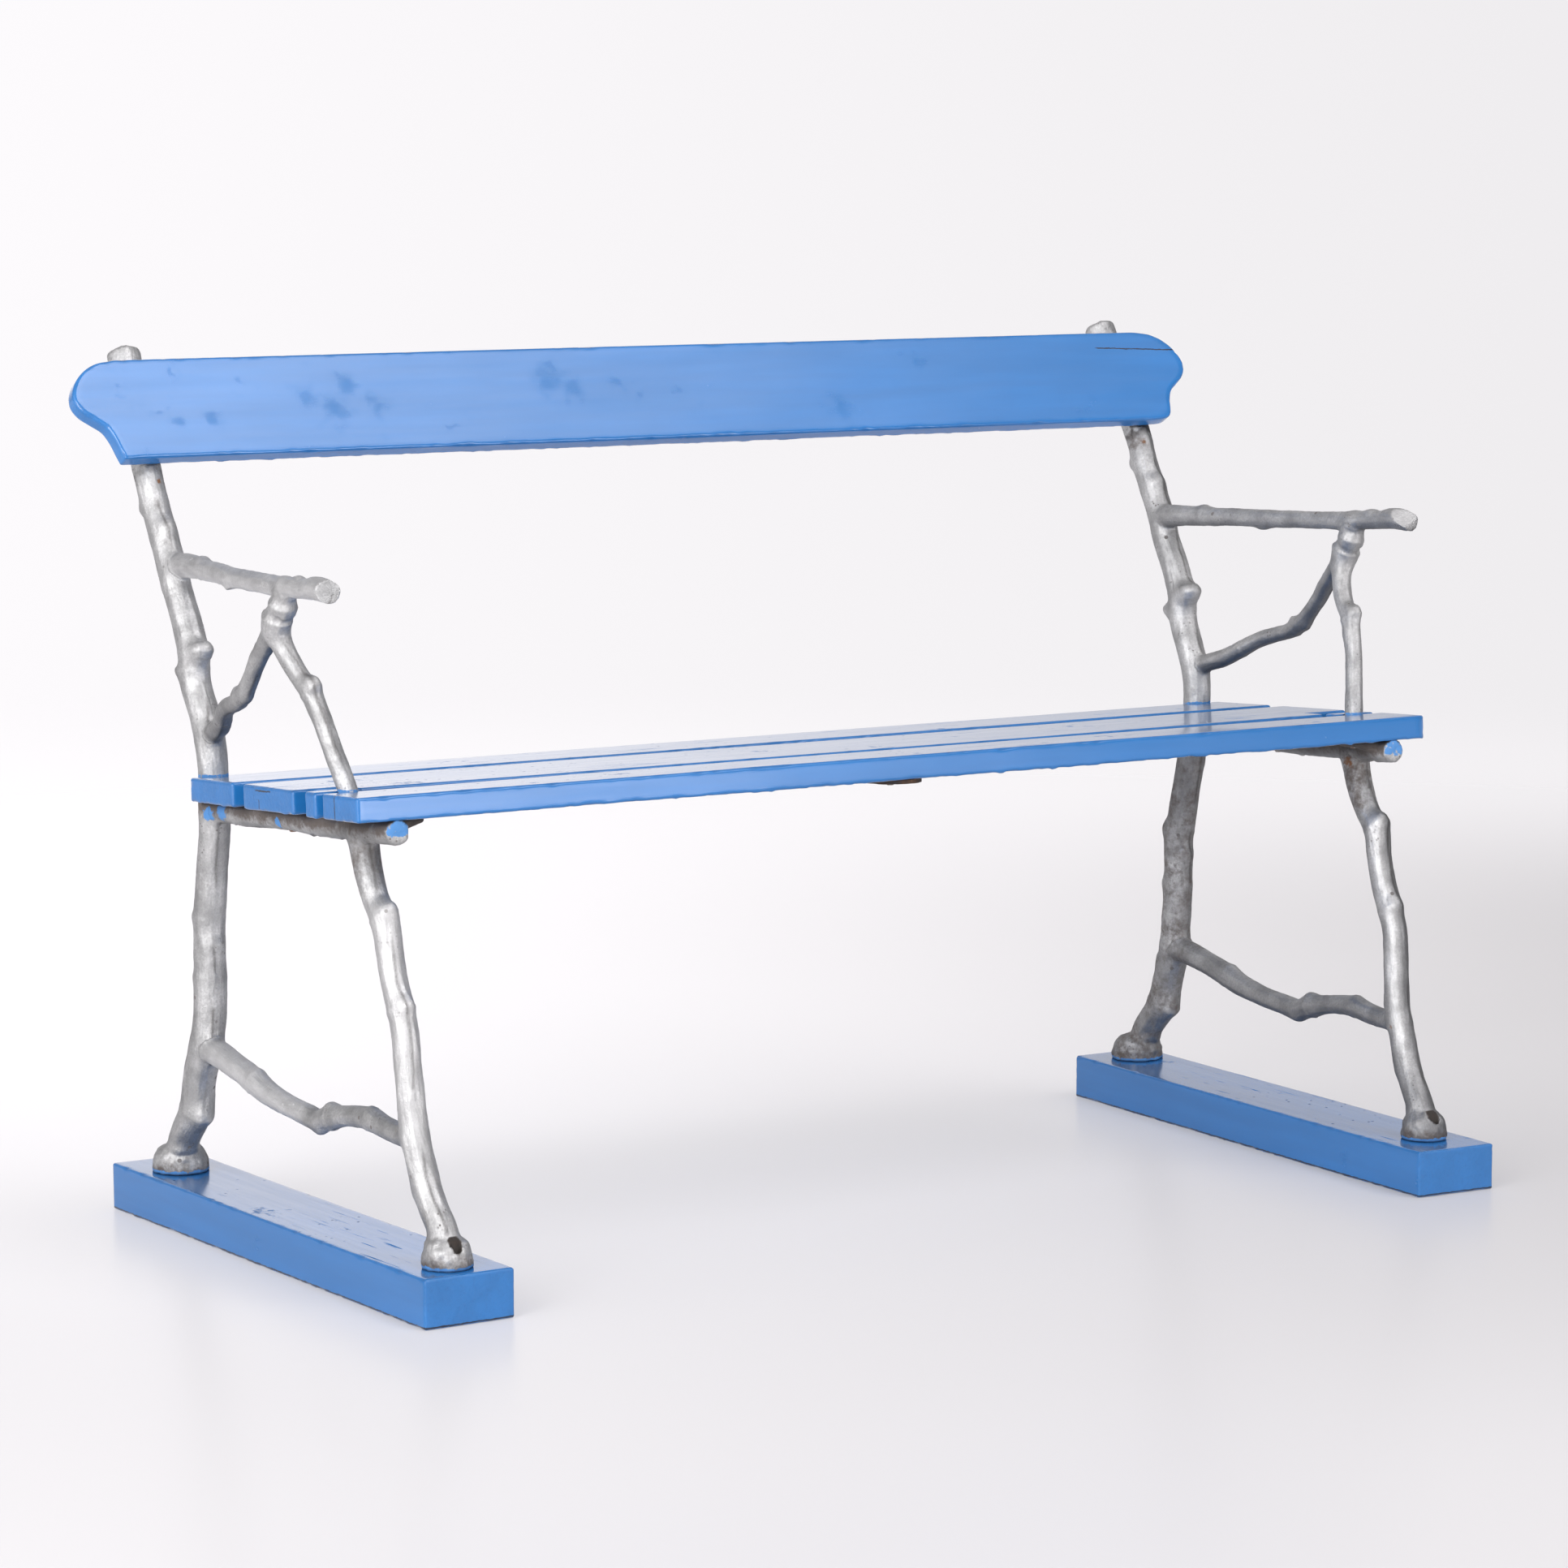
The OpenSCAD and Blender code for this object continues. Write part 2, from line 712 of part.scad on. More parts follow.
module centre_strap() {
    r = strap_w / 2;
    color(rust_iron)
        difference() {
            on_seat()
                translate([strap_x, 0, -strap_t]) {
                    translate([-r, strap_front + r, 0])
                        cube([strap_w, strap_rear - strap_front - strap_w, strap_t]);
                    for (s = [strap_front + r, strap_rear - r])
                        translate([0, s, 0])
                            cylinder(r = r, h = strap_t);
                }
            at_strap_screws()
                cylinder(r = shank_r + play, h = strap_t + hole_over);
        }
}

module foot_screws() {
    color(screw_iron)
        for (side = sides)
            place(side)
                at_foot_screws()
                    screw(pad_floor + foot_bite, foot_shank_r, foot_head_r, foot_head_h);
}

module seat_screws() {
    color(screw_iron)
        for (side = sides)
            place(side) {
                at_bearer_screws()
                    screw(bearer_iron + bite, shank_r, head_r, head_h);
                at_lug_screw()
                    screw(lug_iron + bite, shank_r, head_r, head_h);
            }
}

module rail_screws() {
    color(screw_iron)
        for (side = sides)
            place(side)
                at_rail_screws()
                    screw(rail_iron + bite, shank_r, head_r, head_h);
}

module strap_screws() {
    color(screw_iron)
        at_strap_screws()
            screw(strap_t + bite, shank_r, head_r, head_h);
}

left_end_frame();
right_end_frame();
left_foot_plank();
right_foot_plank();
back_rail();
rear_seat_board();
middle_seat_board();
front_seat_board();
left_filler_block();
right_filler_block();
centre_strap();
foot_screws();
seat_screws();
rail_screws();
strap_screws();
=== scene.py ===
"""Dresses the rustic park bench: silver branch castings, blue painted timber and a rusty strap.

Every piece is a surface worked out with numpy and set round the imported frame. Lengths in
the tables below are millimetres, as on the frame's own drawing; meshes are in metres.
"""

import math
from itertools import product

import bmesh
import bpy
import numpy as np
from bpy.props import FloatProperty, FloatVectorProperty, PointerProperty
from mathutils import Matrix, Vector


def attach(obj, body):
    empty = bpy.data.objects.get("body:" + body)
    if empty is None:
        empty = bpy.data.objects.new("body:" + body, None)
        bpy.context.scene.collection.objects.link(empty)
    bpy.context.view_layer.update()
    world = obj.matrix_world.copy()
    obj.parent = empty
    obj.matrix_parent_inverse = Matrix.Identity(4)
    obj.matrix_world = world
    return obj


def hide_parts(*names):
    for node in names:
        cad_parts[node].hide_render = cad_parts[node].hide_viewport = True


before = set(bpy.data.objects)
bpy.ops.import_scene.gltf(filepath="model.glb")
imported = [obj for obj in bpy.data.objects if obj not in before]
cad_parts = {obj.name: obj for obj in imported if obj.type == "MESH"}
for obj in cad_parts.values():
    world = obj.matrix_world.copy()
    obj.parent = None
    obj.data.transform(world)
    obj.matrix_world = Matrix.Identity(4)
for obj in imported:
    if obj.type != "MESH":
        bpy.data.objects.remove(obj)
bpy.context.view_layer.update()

bl_info = {
    "name": "Rustic Park Bench",
    "version": (1, 0, 0),
    "blender": (4, 5, 0),
    "location": "View3D > Sidebar > Bench",
    "description": "Branch-shaped silver castings, painted seat, rail and foot planks",
    "category": "Object",
}

MM = 0.001
# Points that are compared with a branch at one time
BATCH = 20000
LEFT, RIGHT = -1, 1
SIDE_NAMES = {LEFT: "left", RIGHT: "right"}

# Frames
FRAME_SPACING = 1187
TOE_IN = math.radians(1.9)
FOOT_Z = 48
BEARER_H = 403
BEARER_BOW = 3
BEARER_FLAT = 1.5
ARM_DROOP = 7
ARM_ROOT_Y, ARM_TIP_Y = 205, -184
ARM_SHARE_LOW, ARM_SHARE_HIGH = 430, 629
KNOT_SPREAD = 42

# Timber: points round an arris, and where the posts stand
ARC = 6
POST_X = 598

# Seat, along its slope
SEAT_TILT = math.radians(3)
BOARD_L, BOARD_T = 1264, 24
FRONT_EDGE = -225
FRONT_BOARD_REAR = -142
MIDDLE_FRONT, MIDDLE_REAR = -127, 24
REAR_FRONT, REAR_REAR = 48, 146
EDGE_BOW = 8.5
NOTCH_L, NOTCH_REAR = 56, -87.5
FILLER_L, FILLER_W, FILLER_FRONT = 50, 22, -135.5
LEG_CLEAR = 1.5
POST_S, SUPPORT_S, LEG_TOP = 152, -141, -147
FRONT_BOARD_SCREW = -190
BEARER_SCREWS = (97, -11, -63.5, -124.5, FRONT_BOARD_SCREW)

# Rail: between -RAIL_EVEN and RAIL_EVEN its points stand evenly
RAIL_L, RAIL_W, RAIL_T = 1369, 112, 18
RAIL_LEAN = math.radians(30)
RAIL_SHIFT = -2
RAIL_BACK_Y, RAIL_LOW_H = 269, 723
NEAR_RAIL = 600
RAIL_EVEN = 600
OGEE_L = 56
OGEE = (
    (1, 1), (0.58, 0.965), (0.28, 0.875), (0.08, 0.75), (0, 0.61), (0.1, 0.49),
    (0.31, 0.4), (0.5, 0.32), (0.6, 0.21), (0.66, 0.09), (0.71, 0),
)
RAIL_SCREWS = (27, 85)
RAIL_IRON = 25
# The posts behind it: height up the rail and radius, depth of their middle, outward shift
POST_TOP = ((-2, 14.5), (RAIL_W / 2, 15.5), (RAIL_W, 16.5), (RAIL_W + 20, 17))
POST_DEPTH = 13
POST_SHIFT = (9, 2)

# Planks and strap
PLANK_L, PLANK_W, PLANK_H = 659, 96, 48
PLANK_INSET, PLANK_STAGGER = 8, 25
STRAP_X, STRAP_W, STRAP_T = -17, 50, 5
STRAP_FRONT, STRAP_REAR = -221, 136

# Stations of the branches: y, z above the foot pads, outward bow, radius.
# Knots: y, z, angle round the branch, height, reach.
POST = (
    (256, 2, -1, 17), (240, 36, 1, 16), (212, 68, 2, 17), (200, 102, 3, 16.5),
    (187, 136, 2, 16.8), (181, 168, 0, 16.5), (178, 202, 0, 16.5), (177, 232, 0, 16),
    (177, 262, 0, 16), (171, 292, 1, 16), (164, 326, 2, 15.5), (157, 357, 3, 15.5),
    (153, 392, 5, 15.5), (151, 422, 6, 15), (155, 452, 7, 15.3), (167, 480, 7, 15),
    (182, 508, 8, 15.5), (186, 538, 8, 15.5), (198, 566, 8, 15), (215, 594, 8, 14.5),
    (229, 623, 9, 14.8), (246, 652, 9, 14.5), (263, 681, 9, 14),
)
POST_KNOTS = (
    (209, 73, 270, 8, 9), (195, 120, 90, 6, 9), (179, 212, 90, 6, 10), (178, 246, 270, 4, 9),
    (174, 272, 90, 8, 11), (182, 522, 90, 14, 8), (187, 538, 270, 14, 8), (222, 607, 90, 4, 9),
    (250, 655, 270, 5, 10), (265, 685, 90, 8, 9),
)
LEG = (
    (-298, 2, -5, 15.5), (-287, 32, -4, 14.5), (-270, 56, -2, 13.8), (-257, 80, -1, 14),
    (-248, 105, 0, 13.5), (-240, 131, 0, 13.3), (-236, 158, 1, 13.3), (-233, 185, 2, 13.2),
    (-230, 212, 2, 13), (-220, 237, 2, 13), (-209, 262, 2, 13), (-201, 289, 2, 13),
    (-195, 315, 3, 13.5), (-177, 336, 3, 12.8), (-163, 361, 3, 13.6),
)
LEG_KNOTS = (
    (-197, 324, 270, 14, 8), (-222, 236, 270, 6, 10), (-238, 135, 90, 4, 9), (-262, 70, 90, 4, 9),
)
SUPPORT = (
    (-128, 471, 19, 9.2), (-120, 496, 24, 9.2), (-111, 518, 28, 9.4), (-103, 532, 31, 10),
    (-90, 544, 34, 9.5), (-79, 558, 38, 10), (-72, 572, 42, 10.5), (-69, 586, 46, 12.5),
    (-73, 600, 48, 14.5), (-81, 611, 47, 14), (-86, 622, 47, 12), (-88, 630, 47, 10),
)
SUPPORT_KNOTS = ((-102, 531, 270, 8, 7), (-71, 598, 90, 5, 6), (-112, 516, 90, 3, 8))
ARM = (
    (205, 626, 6, 12), (173, 627, 10, 11), (140, 627, 15, 10), (105, 628, 21, 9.8),
    (60, 628, 30, 10), (20, 629, 35, 9.5), (-30, 630, 40, 9.5), (-75, 631, 45, 10),
    (-105, 633, 48, 9.6), (-130, 634, 49, 9.4), (-156, 637, 49, 11), (-184, 635, 50, 10.5),
)
ARM_KNOTS = ((58, 628, 270, 3, 8), (-118, 634, 90, 3, 9), (150, 627, 90, 3, 10))
BRACE = (
    (152, 458, 8, 9), (137, 465, 10, 9.5), (117, 471, 16, 9.5), (103, 477, 20, 9.3),
    (90, 484, 25, 9), (75, 492, 31, 8.8), (60, 498, 36, 8.8), (42, 503, 41, 8.5),
    (20, 509, 44, 8.5), (7, 517, 45, 9), (-6, 528, 46, 8.5), (-17, 539, 47, 8.3),
    (-26, 549, 48, 8.5), (-34, 559, 48, 9), (-44, 569, 48, 9), (-54, 580, 48, 9.3),
    (-68, 592, 48, 9.5),
)
BRACE_KNOTS = ((14, 512, 90, 5, 8), (2, 521, 270, 3, 8))
STRETCHER = (
    (187, 140, 1, 13.5), (153, 135, 1, 13), (126, 130, 1.5, 12.4), (100, 125, 1.5, 12.4),
    (76, 119, 1.5, 12.5), (52, 113, 1.5, 12), (27, 109, 1.5, 11), (0, 106, 1.5, 10.6),
    (-27, 104, 1.5, 10.6), (-55, 102, 1.5, 10.8), (-80, 109, 1.5, 12), (-108, 115, 1.5, 10.2),
    (-136, 119, 1.5, 10.2), (-163, 120, 1.5, 11.3), (-188, 117, 1.5, 10.6),
    (-214, 115, 1.5, 10.5), (-241, 115, 1.5, 10.5),
)
STRETCHER_KNOTS = (
    (-84, 110, 90, 3, 8), (-58, 102, 270, 3, 8), (-163, 120, 90, 2, 8), (76, 119, 90, 2, 9),
)
BEARER = (
    (140, 12), (110, 12), (75, 12.3), (40, 11.8), (5, 11.5), (-30, 12), (-77, 12.5),
    (-110, 12.6), (-145, 13), (-180, 13), (-222, 12.5),
)
BEARER_KNOTS = ((96, 395, 270, 2.5, 9), (-60, 402, 270, 2.5, 9), (-128, 408, 90, 2, 9))
# Collars: y, z, height, reach of a ring that stands out, or of a neck where it is below 0
COLLARS = {
    "support": ((-74, 599, 1.5, 3), (-79, 608, -1.2, 3), (-83, 615, 1.2, 2.6),
                (-76, 603, -1.6, 9), (-87, 624, -2.4, 3.4), (-104, 531, 0.9, 3)),
    "post": ((209, 73, 0.5, 4), (179, 212, 0.3, 5), (174, 272, 0.4, 5), (184, 524, 0.4, 4),
             (188, 541, 0.4, 4), (222, 607, 0.3, 4)),
    "leg": ((-197, 322, 0.8, 4), (-222, 236, 0.6, 4), (-238, 135, 0.3, 4)),
    "arm": ((150, 627, 0.4, 3),),
    "brace": ((14, 512, 0.6, 3), (90, 484, 0.4, 3), (-44, 569, 0.8, 3)),
    "stretcher": ((-84, 110, 0.8, 3), (76, 119, 0.5, 3), (-163, 120, 0.4, 3)),
    "bearer": ((96, 395, 0.5, 3), (-60, 402, 0.5, 3)),
}
# Foot pads, rear and front: y, outward and radius
PADS = ((256, -2, 29), (-294, -4, 24))
PAD_H = 26
BELL = ((1, 0), (1.01, 0.12), (1, 0.3), (0.96, 0.52), (0.86, 0.76), (0.68, 1), (0.3, 1.06))
FOOT_SCREWS = ((277, -2), (-309, -4))
FOOT_SINK_R, FOOT_FLOOR = 6, 9
# The cuts that end the arms: a point of each plane, and the way it faces
ARM_CUTS = {
    LEFT: ((50, -181, 628), (0.52, -0.85, 0.12)), RIGHT: ((45, -171, 648), (-0.5, -0.5, 0.7))}
LUG_REACH, LUG_WIDTH, LUG_TIP, LUG_ROOT = 38, 34, 5, 16
POCKET_R, BEARER_IRON = 6.5, 20
# Paint on the castings, in soft spots. Blue: outward, distance and height on the seat's slope,
# radius. Rust: outward, y, z, radius
BLUE_SPOTS = ((14, 118, -9, 14), (14, 144, -12, 11), (14, 0, -15, 8))
RUST_SPOTS = (
    (-4, -309, 24, 9), (-10, -300, 6, 7), (4, -280, 14, 6), (2, 252, 12, 12),
    (-14, 240, 8, 8), (-14, -246, 112, 6), (6, 262, 706, 7))

# Touched-up patches: x, across, depth, radius. Cracks, and the planks' painted contact shadow
# line: axis, place, slope, low and high corner
# A dark line along the planks' lower edge where they meet the floor: painted contact shadow
PLANK_CONTACT_SHADOW = ((2, 1.9, 0, (-340, -60, -1), (340, 60, 6)),)
PATCHES = {"top_rail": (
    (-425, 60, 18, 15), (-396, 44, 18, 20), (-380, 76, 18, 13), (-350, 52, 18, 16),
    (-140, 76, 18, 22), (-118, 60, 18, 14), (-575, 38, 18, 9), (-540, 42, 18, 10),
    (210, 30, 18, 18), (330, 80, 18, 12))}
CRACK_AND_SHADOW_LINES = {
    "top_rail": ((1, 120.6, -0.05, (570, 80, 12), (676, 97, 19)),),
    "middle_board": (
        (1, -12, 0, (-640, -22, 2), (-622, 0, 15)), (2, 19.5, 0, (-640, -38, 17), (-622, -5, 26))),
    "front_board": ((1, -177, 0, (-640, -186, -2), (-610, -166, 26)),),
    "rear_board": ((2, 15, 0, (626, 70, 8), (640, 118, 20)),),
    "left_plank": PLANK_CONTACT_SHADOW, "right_plank": PLANK_CONTACT_SHADOW,
}

# Colours of marks in the finishes
SPECK = (0.03, 0.045, 0.08)
# Dark colour of cracks and of the planks' painted contact shadow line
CRACK_AND_SHADOW_DARK = (0.006, 0.012, 0.03)
PIT = (0.05, 0.035, 0.028)
# Painted shade and painted light on the iron
PAINTED_SHADE_IRON, PAINTED_LIGHT_IRON = (0.105, 0.107, 0.113), (0.86, 0.86, 0.86)
# Brown dirt with painted shade, and black seams with painted shadow lines
GRIME_AND_SHADE_BROWN, SEAM_AND_SHADOW_BLACK = (0.085, 0.066, 0.054), (0.035, 0.03, 0.027)
RUST, BLUE_SMEAR = (0.16, 0.075, 0.035), (0.08, 0.23, 0.5)
DARK_SCALE, BROWN_SCALE = (0.014, 0.01, 0.008), (0.07, 0.035, 0.018)
RUST_SPOT = (0.3, 0.16, 0.08)
SCREW_GREY, SCREW_RUST = (0.3, 0.29, 0.28), (0.16, 0.08, 0.045)

# Studio, in metres: the camera, the lamp, and directions of backdrop and soft lights. Sensor
# and lens, the floor's radius and how far it lies below the planks are in millimetres
SENSOR_W, LENS = 36, 116.31
CAMERA_AT = (-2.7284, -4.4273, 1.0908)
CAMERA_RIGHT = (0.85364352, -0.52084633, -0.00344208)
CAMERA_UP = (0.0682645, 0.10532604, 0.99209192)
CAMERA_BACK = (-0.51636489, -0.84712781, 0.1254662)
SOFTBOX_SIZE = (2.0, 2.2)
SOFTBOX_AT, SOFTBOX_AIM = Vector((-4.0, -2.2, 1.8)), Vector((0, 0, 0.5))
STUDIO_WHITE = (1.0, 0.98, 1.0, 1.0)
FLOOR_R, FLOOR_DROP, FLOOR_SIDES, FLOOR_RINGS = 6500, 0.4, 96, 33
BACKWARD = (0.52, 0.85, 0)
RIGHTWARD = (0.85, -0.52, 0)
OVERHEAD = (0.25, -0.53, 0.81)
AHEAD = (0.335, -0.942, 0.0)
LEFTWARD = (-0.95, -0.2, 0.2)
BEHIND = (-0.5, -0.84, 0.2)


# Numbers for the meshes

def noise(points, seed=0):
    """Smooth noise from -1 to 1: hashed values at whole-number corners, blended by a quintic."""
    points = np.asarray(points, float)
    cell = np.floor(points).astype(np.int64)
    part = points - cell
    weight = part ** 3 * (part * (part * 6 - 15) + 10)
    total = np.zeros(points.shape[:-1])
    for corner in product((0, 1), repeat=3):
        c = cell + corner
        h = (c[..., 0] * 73856093) ^ (c[..., 1] * 19349663) ^ (c[..., 2] * 83492791)
        h = (h + seed * 7919) & 0xFFFFFFFF
        h = ((h ^ (h >> 15)) * 2246822519) & 0xFFFFFFFF
        h = ((h ^ (h >> 13)) * 3266489917) & 0xFFFFFFFF
        h = (h ^ (h >> 16)) & 0xFFFF
        share = np.prod(np.where(corner, weight, 1 - weight), axis=-1)
        total += share * (h / 32767.5 - 1)
    return total


def layered(points, seed=0, layers=3):
    """Noise over itself, each layer twice as fine and half as high."""
    points = np.asarray(points, float)
    return sum(noise(points * 2 ** k + 17.3 * k, seed + k) / 2 ** k for k in range(layers))


def smoothstep(value, low, high):
    """0 up to low, 1 from high on, and a cubic ease between them."""
    t = np.clip((value - low) / (high - low), 0, 1)
    return t * t * (3 - 2 * t)


def curve(stations, steps):
    """Catmull-Rom curve through the stations, with a number of steps in each span."""
    p = np.asarray(stations, float)
    q = np.vstack([p[:1], p, p[-1:]])
    i = np.repeat(np.arange(len(p) - 1), steps)
    t = np.tile(np.arange(steps) / steps, len(p) - 1)[:, None]
    a, b, c, d = q[i], q[i + 1], q[i + 2], q[i + 3]
    inner = 0.5 * (2 * b + (c - a) * t + (2 * a - 5 * b + 4 * c - d) * t ** 2
                   + (3 * b - a - 3 * c + d) * t ** 3)
    return np.vstack([inner, p[-1:]])


def bell(value):
    """The bell curve: 1 at 0, and about a third at 1."""
    return np.exp(-value ** 2)


def unit(vectors):
    """The vectors at a length of 1."""
    return vectors / np.maximum(np.linalg.norm(vectors, axis=-1, keepdims=True), 1e-9)


def spread(*values):
    """Several arrays or numbers as the coordinates of one array of points."""
    return np.stack(np.broadcast_arrays(*values), -1)


def place(side, local):
    """Frame coordinates (outward, y, z above the pads) to the bench's own, in millimetres."""
    out, y, z = np.asarray(local, float).T
    c, s = math.cos(TOE_IN), math.sin(TOE_IN)
    return spread(side * (FRAME_SPACING / 2 + out * c + y * s), y * c - out * s, FOOT_Z + z)


def seat_local(out, s, h):
    """Seat slope (outward, distance s, height h off the boards' underside) to frame coordinates."""
    c, t = math.cos(SEAT_TILT), math.sin(SEAT_TILT)
    return spread(out, s * c + h * t, BEARER_H - s * t + h * c)


def seat_world(points):
    """Seat coordinates to the bench's own."""
    return seat_local(*points.T) + (0, 0, FOOT_Z)


def to_seat(local):
    """Frame coordinates to the seat slope: outward, distance, height."""
    c, t = math.cos(SEAT_TILT), math.sin(SEAT_TILT)
    y, z = local[:, 1], local[:, 2] - BEARER_H
    return local[:, 0], y * c - z * t, y * t + z * c


def to_rail(local):
    """Frame coordinates to the rail: outward, height w up the rail, depth n before its back."""
    c, s = math.cos(RAIL_LEAN), math.sin(RAIL_LEAN)
    y, z = local[:, 1] - RAIL_BACK_Y, local[:, 2] - RAIL_LOW_H
    return local[:, 0], y * s + z * c, z * s - y * c


def rail_local(out, w, n):
    """Rail coordinates (outward, height w, depth n) to frame coordinates."""
    c, s = math.cos(RAIL_LEAN), math.sin(RAIL_LEAN)
    return spread(out, RAIL_BACK_Y + w * s - n * c, RAIL_LOW_H + w * c + n * s)


def rail_world(points):
    """Rail coordinates to the bench's own."""
    return rail_local(*points.T) + (RAIL_SHIFT, 0, FOOT_Z)


# Branches

def lifted(stations, side):
    """The arm's droop: the left tip hangs lower, and the right one stands higher."""
    p = np.array(stations, float)
    droop = np.clip((ARM_ROOT_Y - p[:, 0]) / (ARM_ROOT_Y - ARM_TIP_Y), 0, 1)
    share = np.clip((p[:, 1] - ARM_SHARE_LOW) / (ARM_SHARE_HIGH - ARM_SHARE_LOW), 0, 1)
    p[:, 1] += side * ARM_DROOP * droop * share
    return p


def bearer_station(s, r, dy=0):
    """Station of a branch that reaches the seat's underside at the distance s."""
    out, y, z = seat_local(BEARER_BOW, s, BEARER_FLAT - r)
    return [y + dy, z, out, r]


def post_out(w):
    """How far outward the post's middle stands at the height w of the rail."""
    low, high = POST_SHIFT
    return low + (high - low) * w / RAIL_W


def post_stations():
    """The post: its table, and four more stations in a line behind the rail's back."""
    top = []
    for w, r in POST_TOP:
        out, y, z = rail_local(post_out(w), w, -POST_DEPTH)
        top.append([y, z, out, r])
    return np.array(list(POST) + top)


def support_stations(side):
    """The arm support: a foot on the bearer, a station in the boards, then its table."""
    foot = bearer_station(LEG_TOP, 9.5)
    foot[2] += 3
    through = seat_local(0, -140, BOARD_T)
    return np.vstack([[foot, [-140, through[2], 11, 9.5]], lifted(SUPPORT, side)])


def passes(stations, h):
    """Where a branch passes the height h: outward, y, h, radius."""
    p = np.asarray(stations, float)
    return np.array([np.interp(h, p[:, 1], p[:, k]) for k in (2, 0, 1, 3)])


def branch_table(side):
    """Name, stations, knots, steps, sides and tip of every branch of one casting."""
    post = post_stations()
    root = passes(post, ARM_SHARE_HIGH - 7)
    arm = np.vstack([[root[1], root[2], root[0], 10], lifted(ARM, side)])
    leg = np.vstack(
        [LEG, bearer_station(LEG_TOP, 14.5, dy=-3), bearer_station(LEG_TOP + 3, 12)])
    bearer = np.array([bearer_station(s, r) for s, r in BEARER])
    return (
        ("post", post, POST_KNOTS, 8, 48, 4),
        ("leg", leg, LEG_KNOTS, 8, 44, 0),
        ("support", support_stations(side), lifted(SUPPORT_KNOTS, side), 6, 36, 0),
        ("arm", arm, lifted(ARM_KNOTS, side), 8, 36, 2),
        ("brace", lifted(BRACE, side), lifted(BRACE_KNOTS, side), 6, 36, 0),
        ("stretcher", np.array(STRETCHER, float), STRETCHER_KNOTS, 8, 40, 0),
        ("bearer", bearer, BEARER_KNOTS, 8, 40, 2),
    )


def knot_height(centre, angle, knots):
    """Height of the tallest knot at each centre and angle: a bell along and round the branch."""
    height = np.zeros(np.broadcast(centre[..., 0], angle).shape)
    for y, z, where, size, reach in knots:
        along = np.hypot(centre[..., 0] - y, centre[..., 1] - z) / reach
        turn = ((angle - where) % 360 + 540) % 360 - 180
        height = np.maximum(height, size * bell(along) * bell(turn / KNOT_SPREAD))
    return height


def branch_frame(c):
    """Centre, heading and the two cross directions of each ring of a branch."""
    centre = c[:, [2, 0, 1]]
    ahead = np.vstack([centre[1:], centre[-1:]]) - np.vstack([centre[:1], centre[:-1]])
    t = unit(ahead)
    u = unit((1.0, 0, 0) - t * t[:, :1])
    return centre, t, u, np.cross(t, u)


def tube(c, knots, count, tip):
    """A tube: rings of radius plus knot height round the curve, its far end eased over a tip."""
    centre, t, u, v = branch_frame(c)
    angle = 360 * np.arange(count) / count
    rho = c[:, 3:4] + knot_height(c[:, None, :2], angle[None, :], knots)
    turn = np.radians(angle)[None, :, None]
    radial = np.cos(turn) * u[:, None] + np.sin(turn) * v[:, None]
    rings = centre[:, None] + rho[..., None] * radial
    if tip:
        ends = [centre[-1] + k * tip * t[-1] + grow * c[-1, 3] * radial[-1]
                for k, grow in ((0.4, 0.97), (0.7, 0.9), (0.92, 0.76), (1, 0.6))]
        rings = np.concatenate([rings, ends])
    return grid_mesh(rings)


def grid_quads(rings):
    """The quads between the rows of a grid whose rows close round."""
    index = np.arange(rings.shape[0] * rings.shape[1]).reshape(rings.shape[:2])
    nxt = np.roll(index, -1, axis=1)
    return np.stack([index[:-1], index[1:], nxt[1:], nxt[:-1]], -1).reshape(-1, 4)


def grid_mesh(rings):
    """Points and faces of a stack of rings, capped at both ends."""
    count = rings.shape[1]
    quads = grid_quads(rings)[:, [0, 3, 2, 1]].tolist()
    last = (len(rings) - 1) * count
    quads += [list(range(count))[::-1], list(range(last, last + count))]
    return rings.reshape(-1, 3), quads


def revolved(at, profile, count=48):
    """A profile of radius and height turned about an upright axis."""
    turn = 2 * np.pi * np.arange(count) / count
    r, h = np.asarray(profile, float).T
    r, h = r[:, None], h[:, None]
    return grid_mesh(spread(at[1] + r * np.cos(turn), at[0] + r * np.sin(turn), h))


def lug_mesh():
    """The screw lug: a wedge under the front board that thins inwards from the bearer."""
    out = BEARER_BOW + np.array([0, -LUG_REACH, -LUG_REACH, 0.0])
    depth = np.array([0, 0, -LUG_TIP, -LUG_ROOT])
    ends = [seat_local(out, FRONT_BOARD_SCREW + k * LUG_WIDTH / 2, depth) for k in (-1, 1)]
    return grid_mesh(np.array(ends))


def joined(parts):
    """Several lots of points and faces as one."""
    points, faces, start = [], [], 0
    for p, f in parts:
        points.append(p)
        faces += [[start + k for k in face] for face in f]
        start += len(p)
    return np.vstack(points), faces


def make_mesh(name, points, faces):
    mesh = bpy.data.meshes.new(name)
    mesh.from_pydata(np.asarray(points, float).tolist(), [], faces)
    mesh.update()
    return mesh


def link(name, data):
    """A new object in the scene, for a mesh, a lamp or a camera."""
    piece = bpy.data.objects.new(name, data)
    bpy.context.scene.collection.objects.link(piece)
    return piece


def remeshed(points, faces, size):
    """The union of overlapping closed forms, as an even skin of small quads."""
    raw = link("raw", make_mesh("raw", points, faces))
    skin = raw.modifiers.new("skin", "REMESH")
    skin.mode = "VOXEL"
    skin.voxel_size = size
    done = bpy.data.meshes.new_from_object(
        raw.evaluated_get(bpy.context.evaluated_depsgraph_get()))
    bpy.data.objects.remove(raw)
    co = np.empty(len(done.vertices) * 3, np.float32)
    done.vertices.foreach_get("co", co)
    corners = np.empty(len(done.loops), np.int32)
    done.loops.foreach_get("vertex_index", corners)
    quads = corners.reshape(-1, 4)
    bpy.data.meshes.remove(done)
    return co.reshape(-1, 3).astype(float), quads


